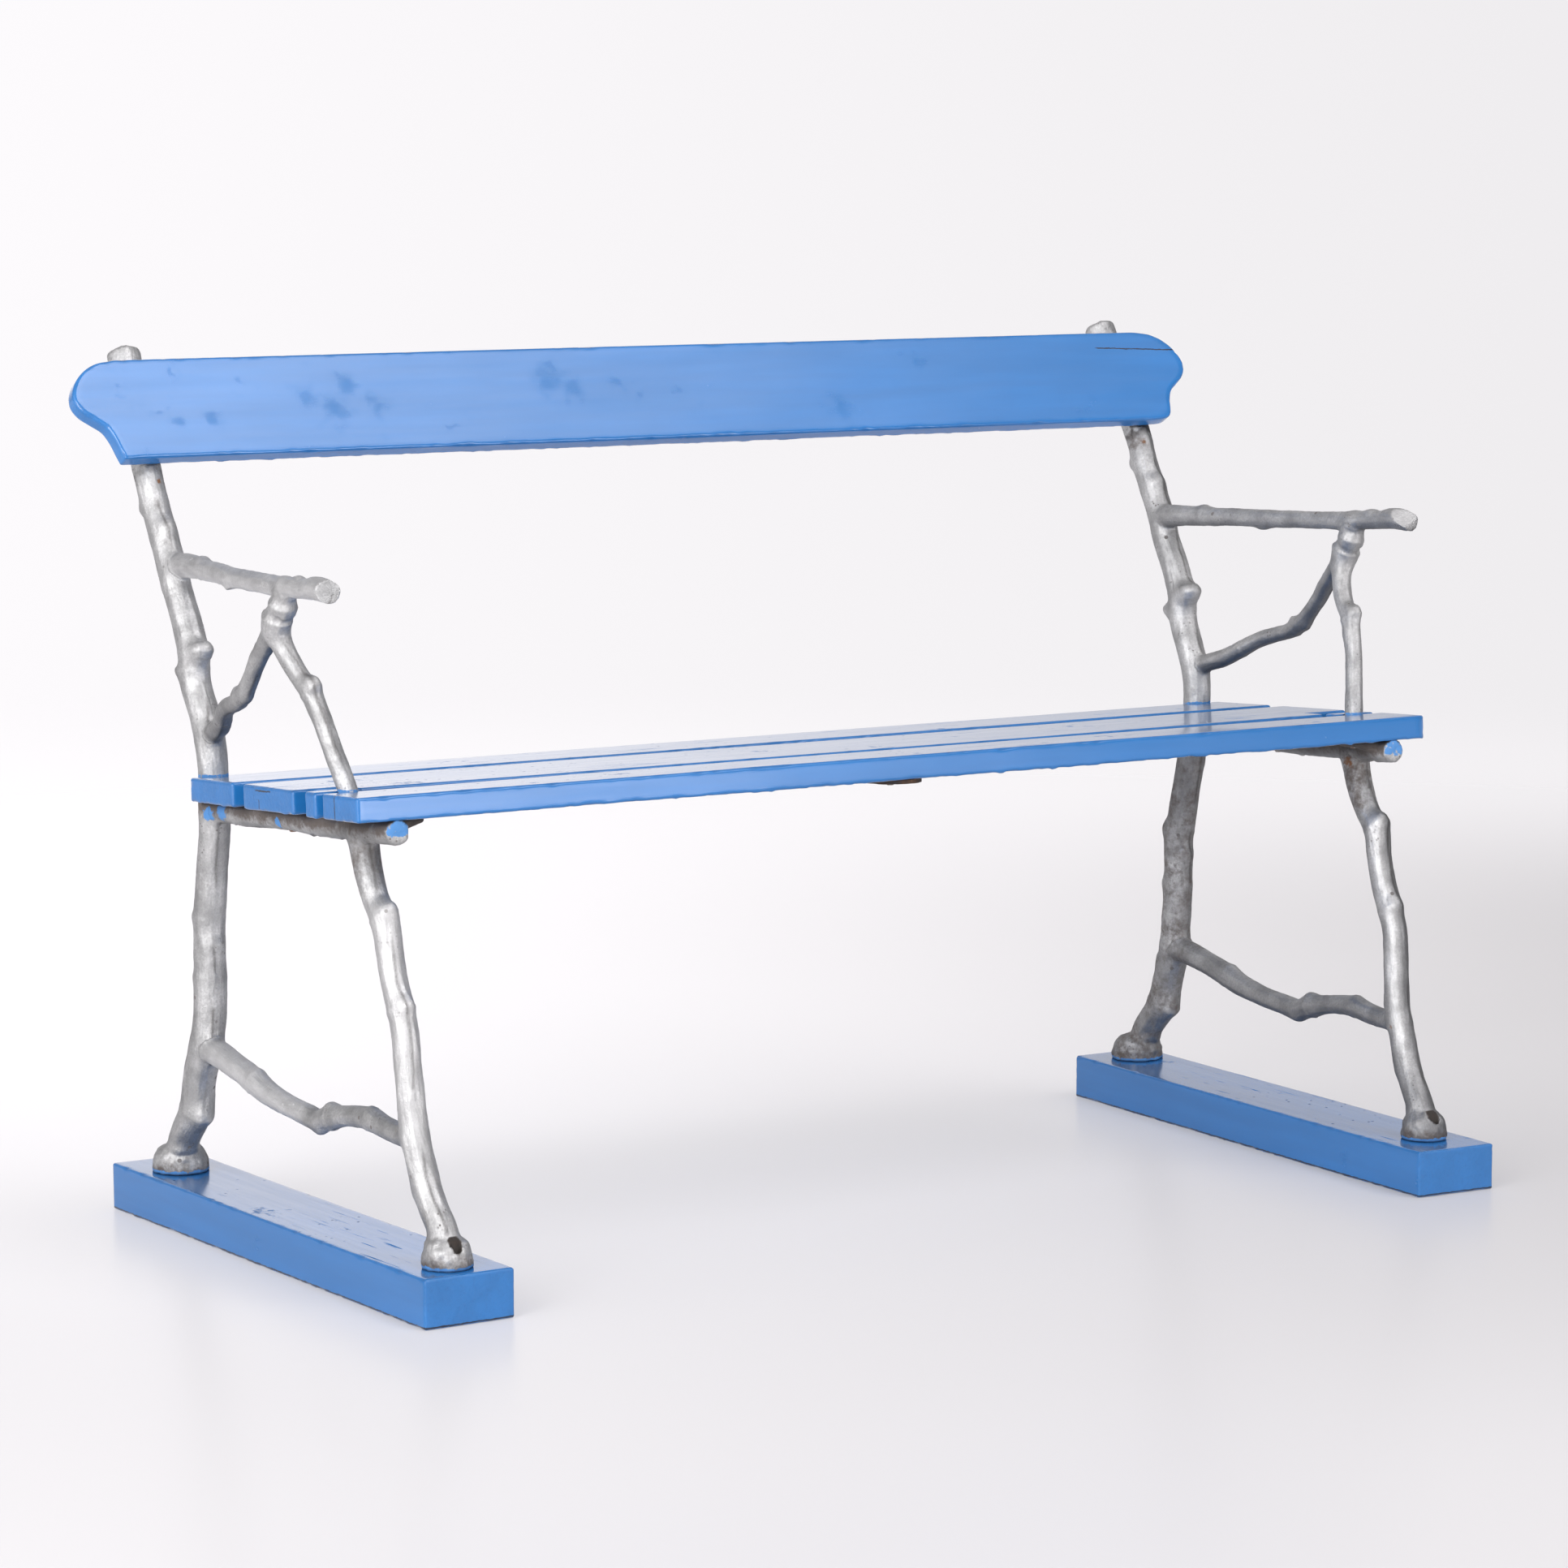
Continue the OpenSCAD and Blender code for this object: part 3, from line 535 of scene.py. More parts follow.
def normals_of(points, quads):
    """Vertex normals: the sum of the diagonals' cross products of the quads round each point."""
    p = points[quads]
    face = np.cross(p[:, 2] - p[:, 0], p[:, 3] - p[:, 1])
    total = np.stack([
        np.bincount(quads.ravel(), np.repeat(face[:, k], 4), len(points)) for k in range(3)], 1)
    return unit(total)


def smoothed(points, quads, weight, rounds, back=0.0):
    """Moves each point towards the mean of its neighbours, by its weight, a few times. A step
    back after each round keeps thin branches from shrinking."""
    a = quads.ravel()
    b = np.roll(quads, -1, axis=1).ravel()
    degree = np.maximum(np.bincount(a, minlength=len(points)), 1)[:, None]
    for step in ((0.5, -back) if back else (0.5,)) * rounds:
        mean = np.stack([
            np.bincount(a, points[b, k], len(points)) for k in range(points.shape[1])],
            1) / degree
        points = points + step * weight[:, None] * (mean - points)
    return points


def branch_fields(points, branches):
    """For every point and branch: signed distance, run along the branch, angle round it, its
    radius there and the knot's part of that."""
    found = []
    for _, stations, knots, steps, _, _ in branches:
        c = curve(stations, steps)
        centre, t, u, v = branch_frame(c)
        run = np.concatenate([[0], np.cumsum(np.linalg.norm(np.diff(centre, axis=0), axis=1))])
        near = np.empty(len(points), int)
        for start in range(0, len(points), BATCH):
            part = points[start:start + BATCH]
            gap = (centre ** 2).sum(1) - 2 * part @ centre.T
            near[start:start + BATCH] = gap.argmin(1)
        away = points - centre[near]
        ahead = (away * t[near]).sum(1)
        inside = (near > 0) & (near < len(c) - 1)
        radial = away - np.where(inside, ahead, 0)[:, None] * t[near]
        length = np.linalg.norm(radial, axis=1)
        angle = np.degrees(np.arctan2((radial * v[near]).sum(1), (radial * u[near]).sum(1)))
        knot = knot_height(c[near, :2], angle, knots)
        rho = c[near, 3] + knot
        found.append((length - rho, run[near] + ahead, angle, rho, knot))
    return [np.stack(k) for k in zip(*found)]


def mesh_piece(name, points, quads, attributes, flip=False):
    """A finished piece from points in millimetres, its faces and its painted attributes."""
    if flip:
        quads = quads[:, ::-1]
    mesh = bpy.data.meshes.new(name)
    mesh.vertices.add(len(points))
    mesh.vertices.foreach_set("co", (points * MM).astype(np.float32).ravel())
    mesh.loops.add(quads.size)
    mesh.loops.foreach_set("vertex_index", quads.astype(np.int32).ravel())
    mesh.polygons.add(len(quads))
    mesh.polygons.foreach_set("loop_start", np.arange(0, quads.size, 4, dtype=np.int32))
    mesh.update(calc_edges=True)
    add_attributes(mesh, attributes)
    mesh.validate()
    mesh.shade_smooth()
    return link(name, mesh)


def add_attributes(mesh, attributes):
    """Painted values for the finishes: one number or three at every point."""
    for key, values in attributes.items():
        values = np.asarray(values, np.float32)
        kind = "FLOAT_VECTOR" if values.ndim == 2 else "FLOAT"
        layer = mesh.attributes.new(key, kind, "POINT")
        layer.data.foreach_set("vector" if values.ndim == 2 else "value", values.ravel())


def blobs(points, spots):
    """Soft spots: for each (x, y, z, radius) a bell, and the highest of them at each point."""
    value = np.zeros(len(points))
    for x, y, z, radius in spots:
        gap = ((points - (x, y, z)) ** 2).sum(1)
        value = np.maximum(value, np.exp(-gap / radius ** 2))
    return value


def pressed(distance, floor, mask):
    """Heights beyond a floor are laid on it, where the mask holds."""
    return np.where(mask & (distance > floor), floor, distance)


def pocket(height, across, along, depth, low, high):
    """Iron from low to high, round a screw's middle, is laid on the floor of its pocket."""
    inside = (np.hypot(across, along) < POCKET_R) & (height > low) & (height < high)
    return -pressed(-height, depth, inside)


def filleted(points, quads, branches, reach):
    """Where two forms are both near, the skin swells and is smoothed. Returns the points and
    how near the second form is, from 0 to 1."""
    gaps = list(branch_fields(points, branches)[0])
    for y, x, r in PADS:
        away = np.hypot(points[:, 0] - x, points[:, 1] - y)
        gaps.append(np.maximum(away - r, points[:, 2] - PAD_H))
    nearest, second = np.sort(np.abs(gaps), axis=0)[:2]
    share = np.clip(1 - (second - nearest) / reach, 0, 1)
    points = points + normals_of(points, quads) * (share ** 2 * reach * 0.2)[:, None]
    points = smoothed(points, quads, 0.2 + 0.8 * share, 8)
    return smoothed(points, quads, np.ones(len(points)), 20, back=0.51), share


def make_casting(side, iron):
    """One end frame: tubes, pads and lug in one skin, filleted, barked, and planed where it
    meets the boards and the rail."""
    branches = branch_table(side)
    parts = [tube(curve(s, n), k, m, tip) for _, s, k, n, m, tip in branches]
    parts += [revolved((y, x), [(k * r, h * PAD_H) for k, h in BELL]) for y, x, r in PADS]
    points, quads = remeshed(*joined(parts + [lug_mesh()]), iron.skin / MM)
    points, share = filleted(points, quads, branches, iron.fillet / MM)

    # Bark: ridges that follow the nearest branch, a parting line, and hammered hollows
    gap, *fields = branch_fields(points, branches)
    own = np.abs(gap).argmin(0)
    run, angle, rho, knot = (field[own, np.arange(len(points))] for field in fields)
    turn = np.radians(angle)
    seed, facets = (10, 5) if side == LEFT else (60, 6)

    def along(step, shift, number, third=0):
        """Noise that changes along each branch."""
        return noise(spread(run / step, own * shift, third), seed + number)

    def wound(step, width, shift):
        """Places that run along and round each branch."""
        return (spread(run / step, width * np.cos(turn), width * np.sin(turn))
                + own[:, None] * shift)

    on_pad = smoothstep(points[:, 2], PAD_H + 14, PAD_H - 2)
    flank = np.radians((angle + 40 * along(70, 2.9, 11, side)) % (360 / facets) - 180 / facets)
    polygon = rho * (1 / np.cos(flank) - 1 - (np.pi / facets) ** 2 / 6)
    rings = collars(points, branches, own, side)
    ridges = 1 - 2 * np.abs(noise(wound(55, 1.4, 5.7), seed))
    crumple = 1 - 2 * np.abs(noise(wound(20, 3, 3.1), seed + 3))
    hollow = layered(points / 9, seed + 5, 2)
    parting = 283 + 9 * along(40, 3.3, 7)
    off = np.abs((angle - parting + 180) % 360 - 180) * np.pi / 180 * rho
    flash = bell(off / 1.6) * smoothstep(along(23, 1.7, 9), -0.4, 0.3)
    seam_and_shadow = bell(off / 1.5) * smoothstep(along(31, 1.9, 13), -0.2, 0.3)
    height = (0.34 * ridges + 0.2 * crumple + 0.18 * hollow) * (1 - 0.6 * on_pad)
    height += 0.6 * flash * (1 - on_pad)
    height += knot ** 2 / 110 * (1 - share)
    height += on_pad * (0.9 * noise(points / 6, seed + 15) + 0.5 * noise(points / 14, seed + 17))
    height = height * iron.bark / MM + (iron.facets * polygon + rings) * (1 - on_pad) * (1 - share)
    points = points + normals_of(points, quads) * height[:, None]

    points = plane_and_drill(side, points, branches, own)
    paint = casting_paint(side, points)
    # The parting line's dark seams join the painted shadow lines in one attribute
    paint["seam_and_shadow"] = np.maximum(0.6 * seam_and_shadow * (1 - on_pad), paint["seam_and_shadow"])
    # Painted shade above 0 and painted light below 0, laid into the iron's colour
    paint["shade"] = painted_shade_and_light(side, points, quads, branches, own)
    paint["bark"] = spread(run, rho * np.cos(turn), rho * np.sin(turn)) * MM + own[:, None] * 0.37
    return mesh_piece(
        f"{SIDE_NAMES[side]}_casting", place(side, points), quads, paint, flip=side == LEFT)


def collars(points, branches, own, side):
    """Rings round the branches: each a bell along the branch, steeper on its upper side."""
    height = np.zeros(len(points))
    for index, branch in enumerate(branches):
        for y, z, size, reach in COLLARS[branch[0]]:
            at = np.array([[y, z, 0, 0]], float)
            y, z = (lifted(at, side) if branch[0] in ("support", "arm", "brace") else at)[0, :2]
            c = curve(branch[1], branch[3])
            k = np.hypot(c[:, 0] - y, c[:, 1] - z).argmin()
            t = branch_frame(c)[1][k]
            ahead = (points - c[k, [2, 0, 1]]) @ t
            width = np.where(ahead > 0, 0.55 * reach, 1.5 * reach)
            height += np.where(own == index, size * bell(ahead / width), 0)
    return height * (0.8 + 0.7 * noise(points / 11, 31))


def arm_cut(side):
    """A point of the plane that ends the arm, and the plane's unit normal."""
    at, facing = ARM_CUTS[side]
    return at, unit(np.array(facing))


def plane_and_drill(side, points, branches, own):
    """Lays the bearer and lug flat under the boards and the post flat behind the rail, cuts
    the arm's tip aslant, and sinks the screws' seats."""
    names = [b[0] for b in branches]
    at, facing = arm_cut(side)
    beyond = (points - at) @ facing
    cut = (own == names.index("arm")) & (points[:, 1] < -150) & (beyond > 0)
    points = points - np.where(cut, beyond, 0)[:, None] * facing
    through = np.isin(own, [names.index("post"), names.index("support")])
    out, s, h = to_seat(points)
    under = ~through & (h > -4) & (h < 6) & (s < REAR_REAR + 10) & (s > FRONT_EDGE - 6)
    h = pressed(h, -0.1, under)
    for screw in BEARER_SCREWS:
        h = pocket(h, out - BEARER_BOW, s - screw, BEARER_IRON, -30, -15)
    h = pocket(h, out - BEARER_BOW - 10 + LUG_REACH, s - FRONT_BOARD_SCREW, LUG_TIP, -12, -3)
    points = seat_local(out, s, h)

    out, w, n = to_rail(points)
    behind = (w > -0.3) & (w < RAIL_W + 0.3) & (n < 12) & (n > -8) & (points[:, 2] > NEAR_RAIL)
    n = pressed(n, -0.05, behind)
    for screw in RAIL_SCREWS:
        n = pocket(n, out - post_out(screw), w - screw, RAIL_IRON, -36, -15)
    points = rail_local(out, w, n)

    z = np.maximum(points[:, 2], 0)
    for y, x in FOOT_SCREWS:
        inside = np.hypot(points[:, 0] - x, points[:, 1] - y) < FOOT_SINK_R + 0.4
        z = np.where(inside & (z < PAD_H), np.minimum(z, FOOT_FLOOR), z)
    return np.stack([points[:, 0], points[:, 1], z], 1)


def painted_shade_and_light(side, points, quads, branches, own):
    """Painted shade on the iron: underneath, under the seat, and on the flanks of the right casting
    that face away from the light. Below 0 it is painted light, on the left arm, leg and stretcher
    and on the right leg's middle; the arms' cut faces get painted shade on the left and a painted
    highlight on the right."""
    names = [b[0] for b in branches]
    normals = normals_of(points, quads)
    down = -normals[:, 2]
    away = normals @ (np.array(RIGHTWARD) * (side, 1, 1))
    y, z = points[:, 1], points[:, 2]
    below_seat = smoothstep(z, 400, 385)
    rise = smoothstep(z, 30, 150)
    if side == RIGHT:
        flank = smoothstep(away, -0.05, 0.52)
        leg = 0.55 * smoothstep(z, 105, 60) - 0.25 * rise * (1 - flank)
        leg += (0.85 - leg) * np.maximum(flank, 0.6 * smoothstep(-away, 0.75, 0.95))
        leg *= smoothstep(z, 370, 325)
        post = (0.1 + 0.3 * smoothstep(z, 160, 120) + 0.45 * smoothstep(z, 225, 265)
                + 0.3 * smoothstep(z, 280, 310)) * below_seat
        post = np.maximum(post, flank * (0.7 * below_seat + 0.5 * smoothstep(z, 580, 630)))
        dark = {"brace": smoothstep(down, -0.35, 0.35), "arm": 0.6 * smoothstep(down, -0.6, 0.6),
                "leg": leg, "post": post, "stretcher": 0.2 + 0.6 * smoothstep(down, -0.6, 0.5)}
    else:
        leg = 0.3 * smoothstep(z, 335, 365) - 0.32 * rise * smoothstep(z, 350, 310)
        leg += 0.6 * smoothstep(z, 350, 385) * smoothstep(away, -0.6, 0.2)
        dark = {"brace": 0.6 * smoothstep(down, -0.2, 0.8),
                "arm": -0.3 - 0.5 * smoothstep(down, 0.5, 0.95), "leg": leg,
                "post": 0.4 * smoothstep(away, 0.1, 0.7) * smoothstep(z, 290, 330) * below_seat,
                "stretcher": -0.5 * smoothstep(y, -50, -20) * smoothstep(y, 178, 150)}
    total = sum(dark[name] * (own == names.index(name)) for name in dark)
    total = smoothed(total[:, None], quads, np.ones(len(points)), 12)[:, 0]
    # The arms' cut faces: painted shade on the left, a painted highlight on the right
    at, facing = arm_cut(side)
    facet = smoothstep(np.abs((points - at) @ facing), 1.0, 0.3)
    facet *= smoothstep(normals @ facing, 0.8, 0.95) * (own == names.index("arm"))
    return total + facet * ((0.45 if side == LEFT else -0.3) - total)


def casting_paint(side, points):
    """Where the castings carry blue paint, rust, dirt with painted shade, and dark seams with
    painted shadow lines, each from 0 to 1.
    """
    x, y, z = points.T
    out, s, h = to_seat(points)
    rim = smoothstep(z, 9, 1)
    seat_rim = smoothstep(np.abs(h - BOARD_T - 0.5), 4.5, 0.5) * (np.abs(s) < 190)
    end = 0.62 * smoothstep(s, FRONT_EDGE + 6, FRONT_EDGE + 2) * smoothstep(h, -22, -12)
    rear = blobs(spread(out, s, h), BLUE_SPOTS)
    blue = np.maximum.reduce([0.72 * rim, 0.6 * seat_rim, end, 0.8 * rear])
    rust = 0.75 * blobs(points, RUST_SPOTS + ((-8, -160, 386, 12 if side == RIGHT else 6),))
    # Under the lug, below the front board: dirt and painted shade
    lug = smoothstep(out, -12, -22) * (np.abs(s - FRONT_BOARD_SCREW) < 25) * (np.abs(h) < 22)
    # The pads' sunk screw seats: painted shade in the holes
    sunk = np.zeros(len(points))
    for py, px in FOOT_SCREWS:
        away = np.hypot(x - px, y - py)
        hole = smoothstep(away, FOOT_SINK_R + 1.6, FOOT_SINK_R) * (z < PAD_H + 5)
        sunk = np.maximum(sunk, hole)
    foot = 0.7 * smoothstep(z, 24, 2)
    # Below the seat on the legs' tops, under the rail on the post, and on the right the rear post
    # below the seat: dirt and painted shade
    grime_and_shade_patches = (0.75 if side == RIGHT else 0.62) * blobs(points, (
        (0, -160, 372, 30), (-8, -172, 345, 20 if side == RIGHT else 6)))
    grime_and_shade_patches = np.maximum(grime_and_shade_patches, 0.6 * blobs(points, ((0, 274, 708, 20),)))
    if side == RIGHT:
        grime_and_shade_patches = np.maximum(grime_and_shade_patches, 0.42 * smoothstep(y, 110, 150) * smoothstep(z, 400, 380))
    # The bearer's top under the boards: dirt and painted shade
    under = smoothstep(h, -26, -4) * (h < 2) * (h > -30) * (np.abs(s) < 222)
    grime_and_shade = np.maximum.reduce([lug, sunk, foot, grime_and_shade_patches, under])
    # Painted shadow: a black line along the bearer's top under the boards, and deeper painted
    # shadow down the bearer's side
    below = (h < 2) & (s < REAR_REAR + 4)
    seam_and_shadow = smoothstep(h, -7, -2) * below * (s > FRONT_EDGE + 2)
    shadow = 0.75 * smoothstep(h, -28, -15) * below * smoothstep(s, -212, -190)
    if side == LEFT:
        shadow *= 0.6 * smoothstep(s, -90, -140)
    # Darker in patches just below the rail
    w = to_rail(points)[1]
    below_rail = smoothstep(w, -16, -2) * (w < 3) * (z > NEAR_RAIL)
    below_rail *= smoothstep(noise(points / 5, 91), -0.5, 0.3) * (0.85 if side == RIGHT else 0.5)
    # Black seams and painted shadow: the line under the boards, a painted contact shadow at the
    # pads' foot, painted shade in the screw holes and under the lug
    seam_and_shadow = np.maximum.reduce([seam_and_shadow, smoothstep(z, 2.0, 0.3), sunk, 0.75 * lug, shadow, below_rail])
    return {"blue": blue, "rust": rust, "grime_and_shade": grime_and_shade, "seam_and_shadow": seam_and_shadow}


# Timber

def section(across, upright):
    """A rounded rectangle's ring: shares across and up, and the arris direction at each point.
    It runs up the low side, over the top, down the high side and back below."""
    up, over = (np.linspace(0, 1, n + 1)[1:-1] for n in (upright, across))
    ring = []
    for a, b, start, run, da, db in (
            (0, 0, 270, up, 0, 1), (0, 1, 180, over, 1, 0),
            (1, 1, 90, up, 0, -1), (1, 0, 360, over, -1, 0)):
        arc = np.radians(np.linspace(start, start - 90, ARC))
        side = np.round(np.cos(arc[-1])), np.round(np.sin(arc[-1]))
        ring += [spread(a, b, np.cos(arc), np.sin(arc)), spread(a + da * run, b + db * run, *side)]
    return np.concatenate(ring).T


def bar(stations, low, high, thick, r, across, upright, cap_rings=9):
    """A bar along x: at each station a rounded rectangle from low(x) to high(x) and 0 to thick.
    Its ends round over by r and close in rings on their middle. Returns points, normals and
    the shares of end grain and of arris."""
    x = np.asarray(stations, float)
    turn = np.radians(np.linspace(90, 0, ARC))[:-1]
    into, out_of = r * (1 - np.sin(turn)), np.cos(turn)
    cap = np.zeros(cap_rings)
    inner = x[(x > x[0] + r) & (x < x[-1] - r)]
    x_in = np.concatenate([cap + x[0], x[0] + into, inner, x[-1] - into[::-1], cap + x[-1]])
    ease = np.concatenate([cap, out_of, np.ones(len(inner)), out_of[::-1], cap])
    fill = np.arange(cap_rings) / cap_rings
    shrink = np.concatenate([fill, np.ones(len(inner) + 2 * len(turn)), fill[::-1]])[:, None]
    a, b, ca, cb = section(across, upright)
    edge = np.clip(x_in, x[0] + 0.01, x[-1] - 0.01)
    lo, hi = low(edge)[:, None] + r, high(edge)[:, None] - r
    lip = 4 * ease * (1 - ease)
    outer = np.where(np.arange(len(x_in)) < len(x_in) / 2, -1, 1)
    tilt = np.sqrt(np.maximum(1 - ease ** 2, 0)) * outer
    x_in, ease, lip, tilt = (k[:, None] for k in (x_in, ease, lip, tilt))
    s = lo + (hi - lo) * a + r * ease * ca
    h = r + (thick - 2 * r) * b + r * ease * cb
    mid_s, mid_h = (lo + hi) / 2, thick / 2
    points = spread(x_in, mid_s + (s - mid_s) * shrink, mid_h + (h - mid_h) * shrink)
    normals = unit(spread(tilt, ca * ease, cb * ease))
    arris = np.maximum(np.abs(ca * cb) * 2 * ease, lip)
    return points, normals, np.broadcast_to(1 - ease, s.shape), arris


def timber_piece(name, surface, timber, seed, to_world, drip=0, low=2):
    """Wobbles and wears a bar's surface, lets paint drip from its lower edge (along the axis
    called low), puts it in place, closes it and paints it."""
    quads = grid_quads(surface[0])
    flat, normal = (k.reshape(-1, 3) for k in surface[:2])
    end, arris = (k.ravel() for k in surface[2:])
    wave = 0.3 * noise(flat / (170, 60, 60), seed) + 0.08 * noise(flat / (60, 22, 22), seed + 1)
    nibble = np.maximum(noise(flat / (9, 6, 6), seed + 2), 0) ** 2
    under = smoothstep(flat[:, low], 3.5, 1) * arris
    sag = under * (0.3 + np.maximum(noise(flat / (7, 9, 9), seed + 4), 0))
    height = wave * (1 - 0.4 * end) - timber.wear / MM * arris * nibble + 0.5 * sag
    height += end * 0.18 * noise(flat / (3, 2.2, 3.5), seed + 6)
    moved = flat + normal * height[:, None]
    clear = smoothstep(np.abs(np.abs(flat[:, 0]) - POST_X), 24, 34)
    clear *= smoothstep(np.abs(flat[:, 0] - STRAP_X), 27, 34)
    beads = np.maximum(noise(flat / (9, 14, 14), seed + 8), 0) ** 1.5
    moved[:, low] -= drip * under * clear * (0.15 + beads)
    line_offset, line_box = dark_line_fields(flat, CRACK_AND_SHADOW_LINES.get(name, ()))
    piece = mesh_piece(name, to_world(moved), quads, {
        "grain": (flat + seed * 41) * MM, "end": end,
        "worn": np.clip(arris * nibble * 1.5 + 0.5 * drip * under, 0, 1),
        "patch": blobs(flat, PATCHES.get(name, ())), "line_offset": line_offset, "line_box": line_box,
        "top": smoothstep(normal[:, 2], 0.5, 0.9) * (name != "top_rail")})
    close_seams(piece)
    return piece


def dark_line_fields(points, cracks):
    """Distance from the nearby crack, a flat cut across an axis, and whether it is within its
    box; on the planks the line is a painted contact shadow. The distance has a sign, so that it
    runs evenly through 0."""
    gap, open_here = np.full(len(points), 99.0), np.zeros(len(points))
    for axis, at, slope, low, high in cracks:
        low, high = np.array(low, float), np.array(high, float)
        near = ((points >= low - 6) & (points <= high + 6)).all(1)
        inside = ((points >= low) & (points <= high)).all(1)
        gap = np.where(near, points[:, axis] - at - slope * points[:, 0], gap)
        open_here = np.where(inside, 1, open_here)
    return gap, open_here


def close_seams(piece):
    """Merges the points that meet at poles and seams, and turns all faces outwards."""
    work = bmesh.new()
    work.from_mesh(piece.data)
    bmesh.ops.remove_doubles(work, verts=work.verts, dist=1e-5)
    bmesh.ops.dissolve_degenerate(work, edges=work.edges, dist=1e-6)
    bmesh.ops.recalc_face_normals(work, faces=work.faces)
    if work.calc_volume(signed=True) < 0:
        bmesh.ops.reverse_faces(work, faces=work.faces)
    work.to_mesh(piece.data)
    work.free()
    piece.data.shade_smooth()


def seat_hole(side, stations, at):
    """Centre line and radius of the hole for a branch that passes the boards, in seat x, s."""
    low = seat_local(0, at, 0)[2]
    a, b = (passes(stations, h) for h in (low, low + BOARD_T))
    x, s, _ = to_seat(place(side, np.array([a[:3], b[:3]])) - (0, 0, FOOT_Z))
    return x, s, a[3] + LEG_CLEAR


def bitten(points, hole, sign):
    """Cuts a board's edge back to the round hole of a branch; sign 1 cuts a rear edge."""
    (x0, x1), (s0, s1), r = hole
    share = points[..., 2] / BOARD_T
    dx = points[..., 0] - (x0 + (x1 - x0) * share)
    limit = s0 + (s1 - s0) * share - sign * np.sqrt(np.maximum(r * r - dx * dx, 0))
    s = points[..., 1]
    cut = sign * np.minimum(sign * s, sign * limit)
    points[..., 1] = np.where(np.abs(dx) < r, cut, s)
    return points


def board_stations(length, dense=()):
    """Stations along a board: every 4 mm, and every 0.8 mm round each dense place."""
    x = [np.linspace(-length / 2, length / 2, int(length / 4) + 1)]
    x += [np.arange(at - half, at + half, 0.8) for at, half in dense]
    x = np.unique(np.round(np.concatenate(x), 2))
    return x[(x >= -length / 2) & (x <= length / 2)]


def flat_edge(value):
    """A straight edge at one value for every x."""
    return lambda x: np.full(len(x), float(value))


def front_edge(x):
    """The front board's front edge, eased back at its right end."""
    return FRONT_EDGE + 4 * smoothstep(x, 622, 633)


def gap_bow(x):
    """How far the gap behind the front board spreads towards the ends."""
    return EDGE_BOW * (2 * x / BOARD_L) ** 2


def notched_front(x):
    """Front edge of the middle board: bowed, and stepped back at the two corner notches."""
    bowed = MIDDLE_FRONT + gap_bow(x)
    share = smoothstep(np.abs(x), BOARD_L / 2 - NOTCH_L - 0.8, BOARD_L / 2 - NOTCH_L + 0.8)
    return bowed + (NOTCH_REAR - bowed) * share


def make_boards(timber):
    """Three seat boards and two filler blocks."""
    sides = (LEFT, RIGHT)
    post = {side: seat_hole(side, post_stations(), POST_S) for side in sides}
    support = {side: seat_hole(side, support_stations(side), SUPPORT_S) for side in sides}
    notch = BOARD_L / 2 - NOTCH_L
    made = {}

    def board(name, low, high, dense, across, seed, bites=(), length=BOARD_L, shift=0):
        stations = board_stations(length, dense) + shift
        points, *rest = bar(stations, low, high, BOARD_T, timber.arris / MM, across, 7)
        for hole, sign in bites:
            points = bitten(points, hole, sign)
        made[name] = timber_piece(name, (points, *rest), timber, seed, seat_world, drip=1.6)

    board("rear_board", flat_edge(REAR_FRONT), flat_edge(REAR_REAR),
          [(post[k][0][0], 20) for k in sides], 24, 3, [(post[k], 1) for k in sides])
    board("middle_board", notched_front, flat_edge(MIDDLE_REAR), [(-notch, 3), (notch, 3)], 36, 5)
    board("front_board", front_edge, lambda x: FRONT_BOARD_REAR - gap_bow(x),
          [(support[k][0][0], 14) for k in sides], 22, 7, [(support[k], 1) for k in sides])
    for side in sides:
        middle = side * (BOARD_L - FILLER_L) / 2
        board(f"{SIDE_NAMES[side]}_block", flat_edge(FILLER_FRONT),
              flat_edge(FILLER_FRONT + FILLER_W), [(support[side][0][0] - middle, 14)], 8,
              9 + side, [(support[side], -1)], length=FILLER_L, shift=middle)
    return made


def make_plank(side, timber):
    """A foot plank: a long rounded block on the floor under one frame."""
    half = PLANK_W / 2
    surface = bar(board_stations(PLANK_L), flat_edge(-half), flat_edge(half), PLANK_H,
                  timber.arris / MM * 0.8, 26, 13, cap_rings=14)
    middle = side * (FRAME_SPACING / 2 - PLANK_INSET)
    shift = -PLANK_STAGGER if side == RIGHT else 0
    c, t = math.cos(TOE_IN), -side * math.sin(TOE_IN)

    def to_world(points):
        y, x, z = points.T
        return spread(middle - x * c - y * t, shift - x * t + y * c, np.maximum(z, 0))

    return timber_piece(f"{SIDE_NAMES[side]}_plank", surface, timber, 21 + side, to_world)


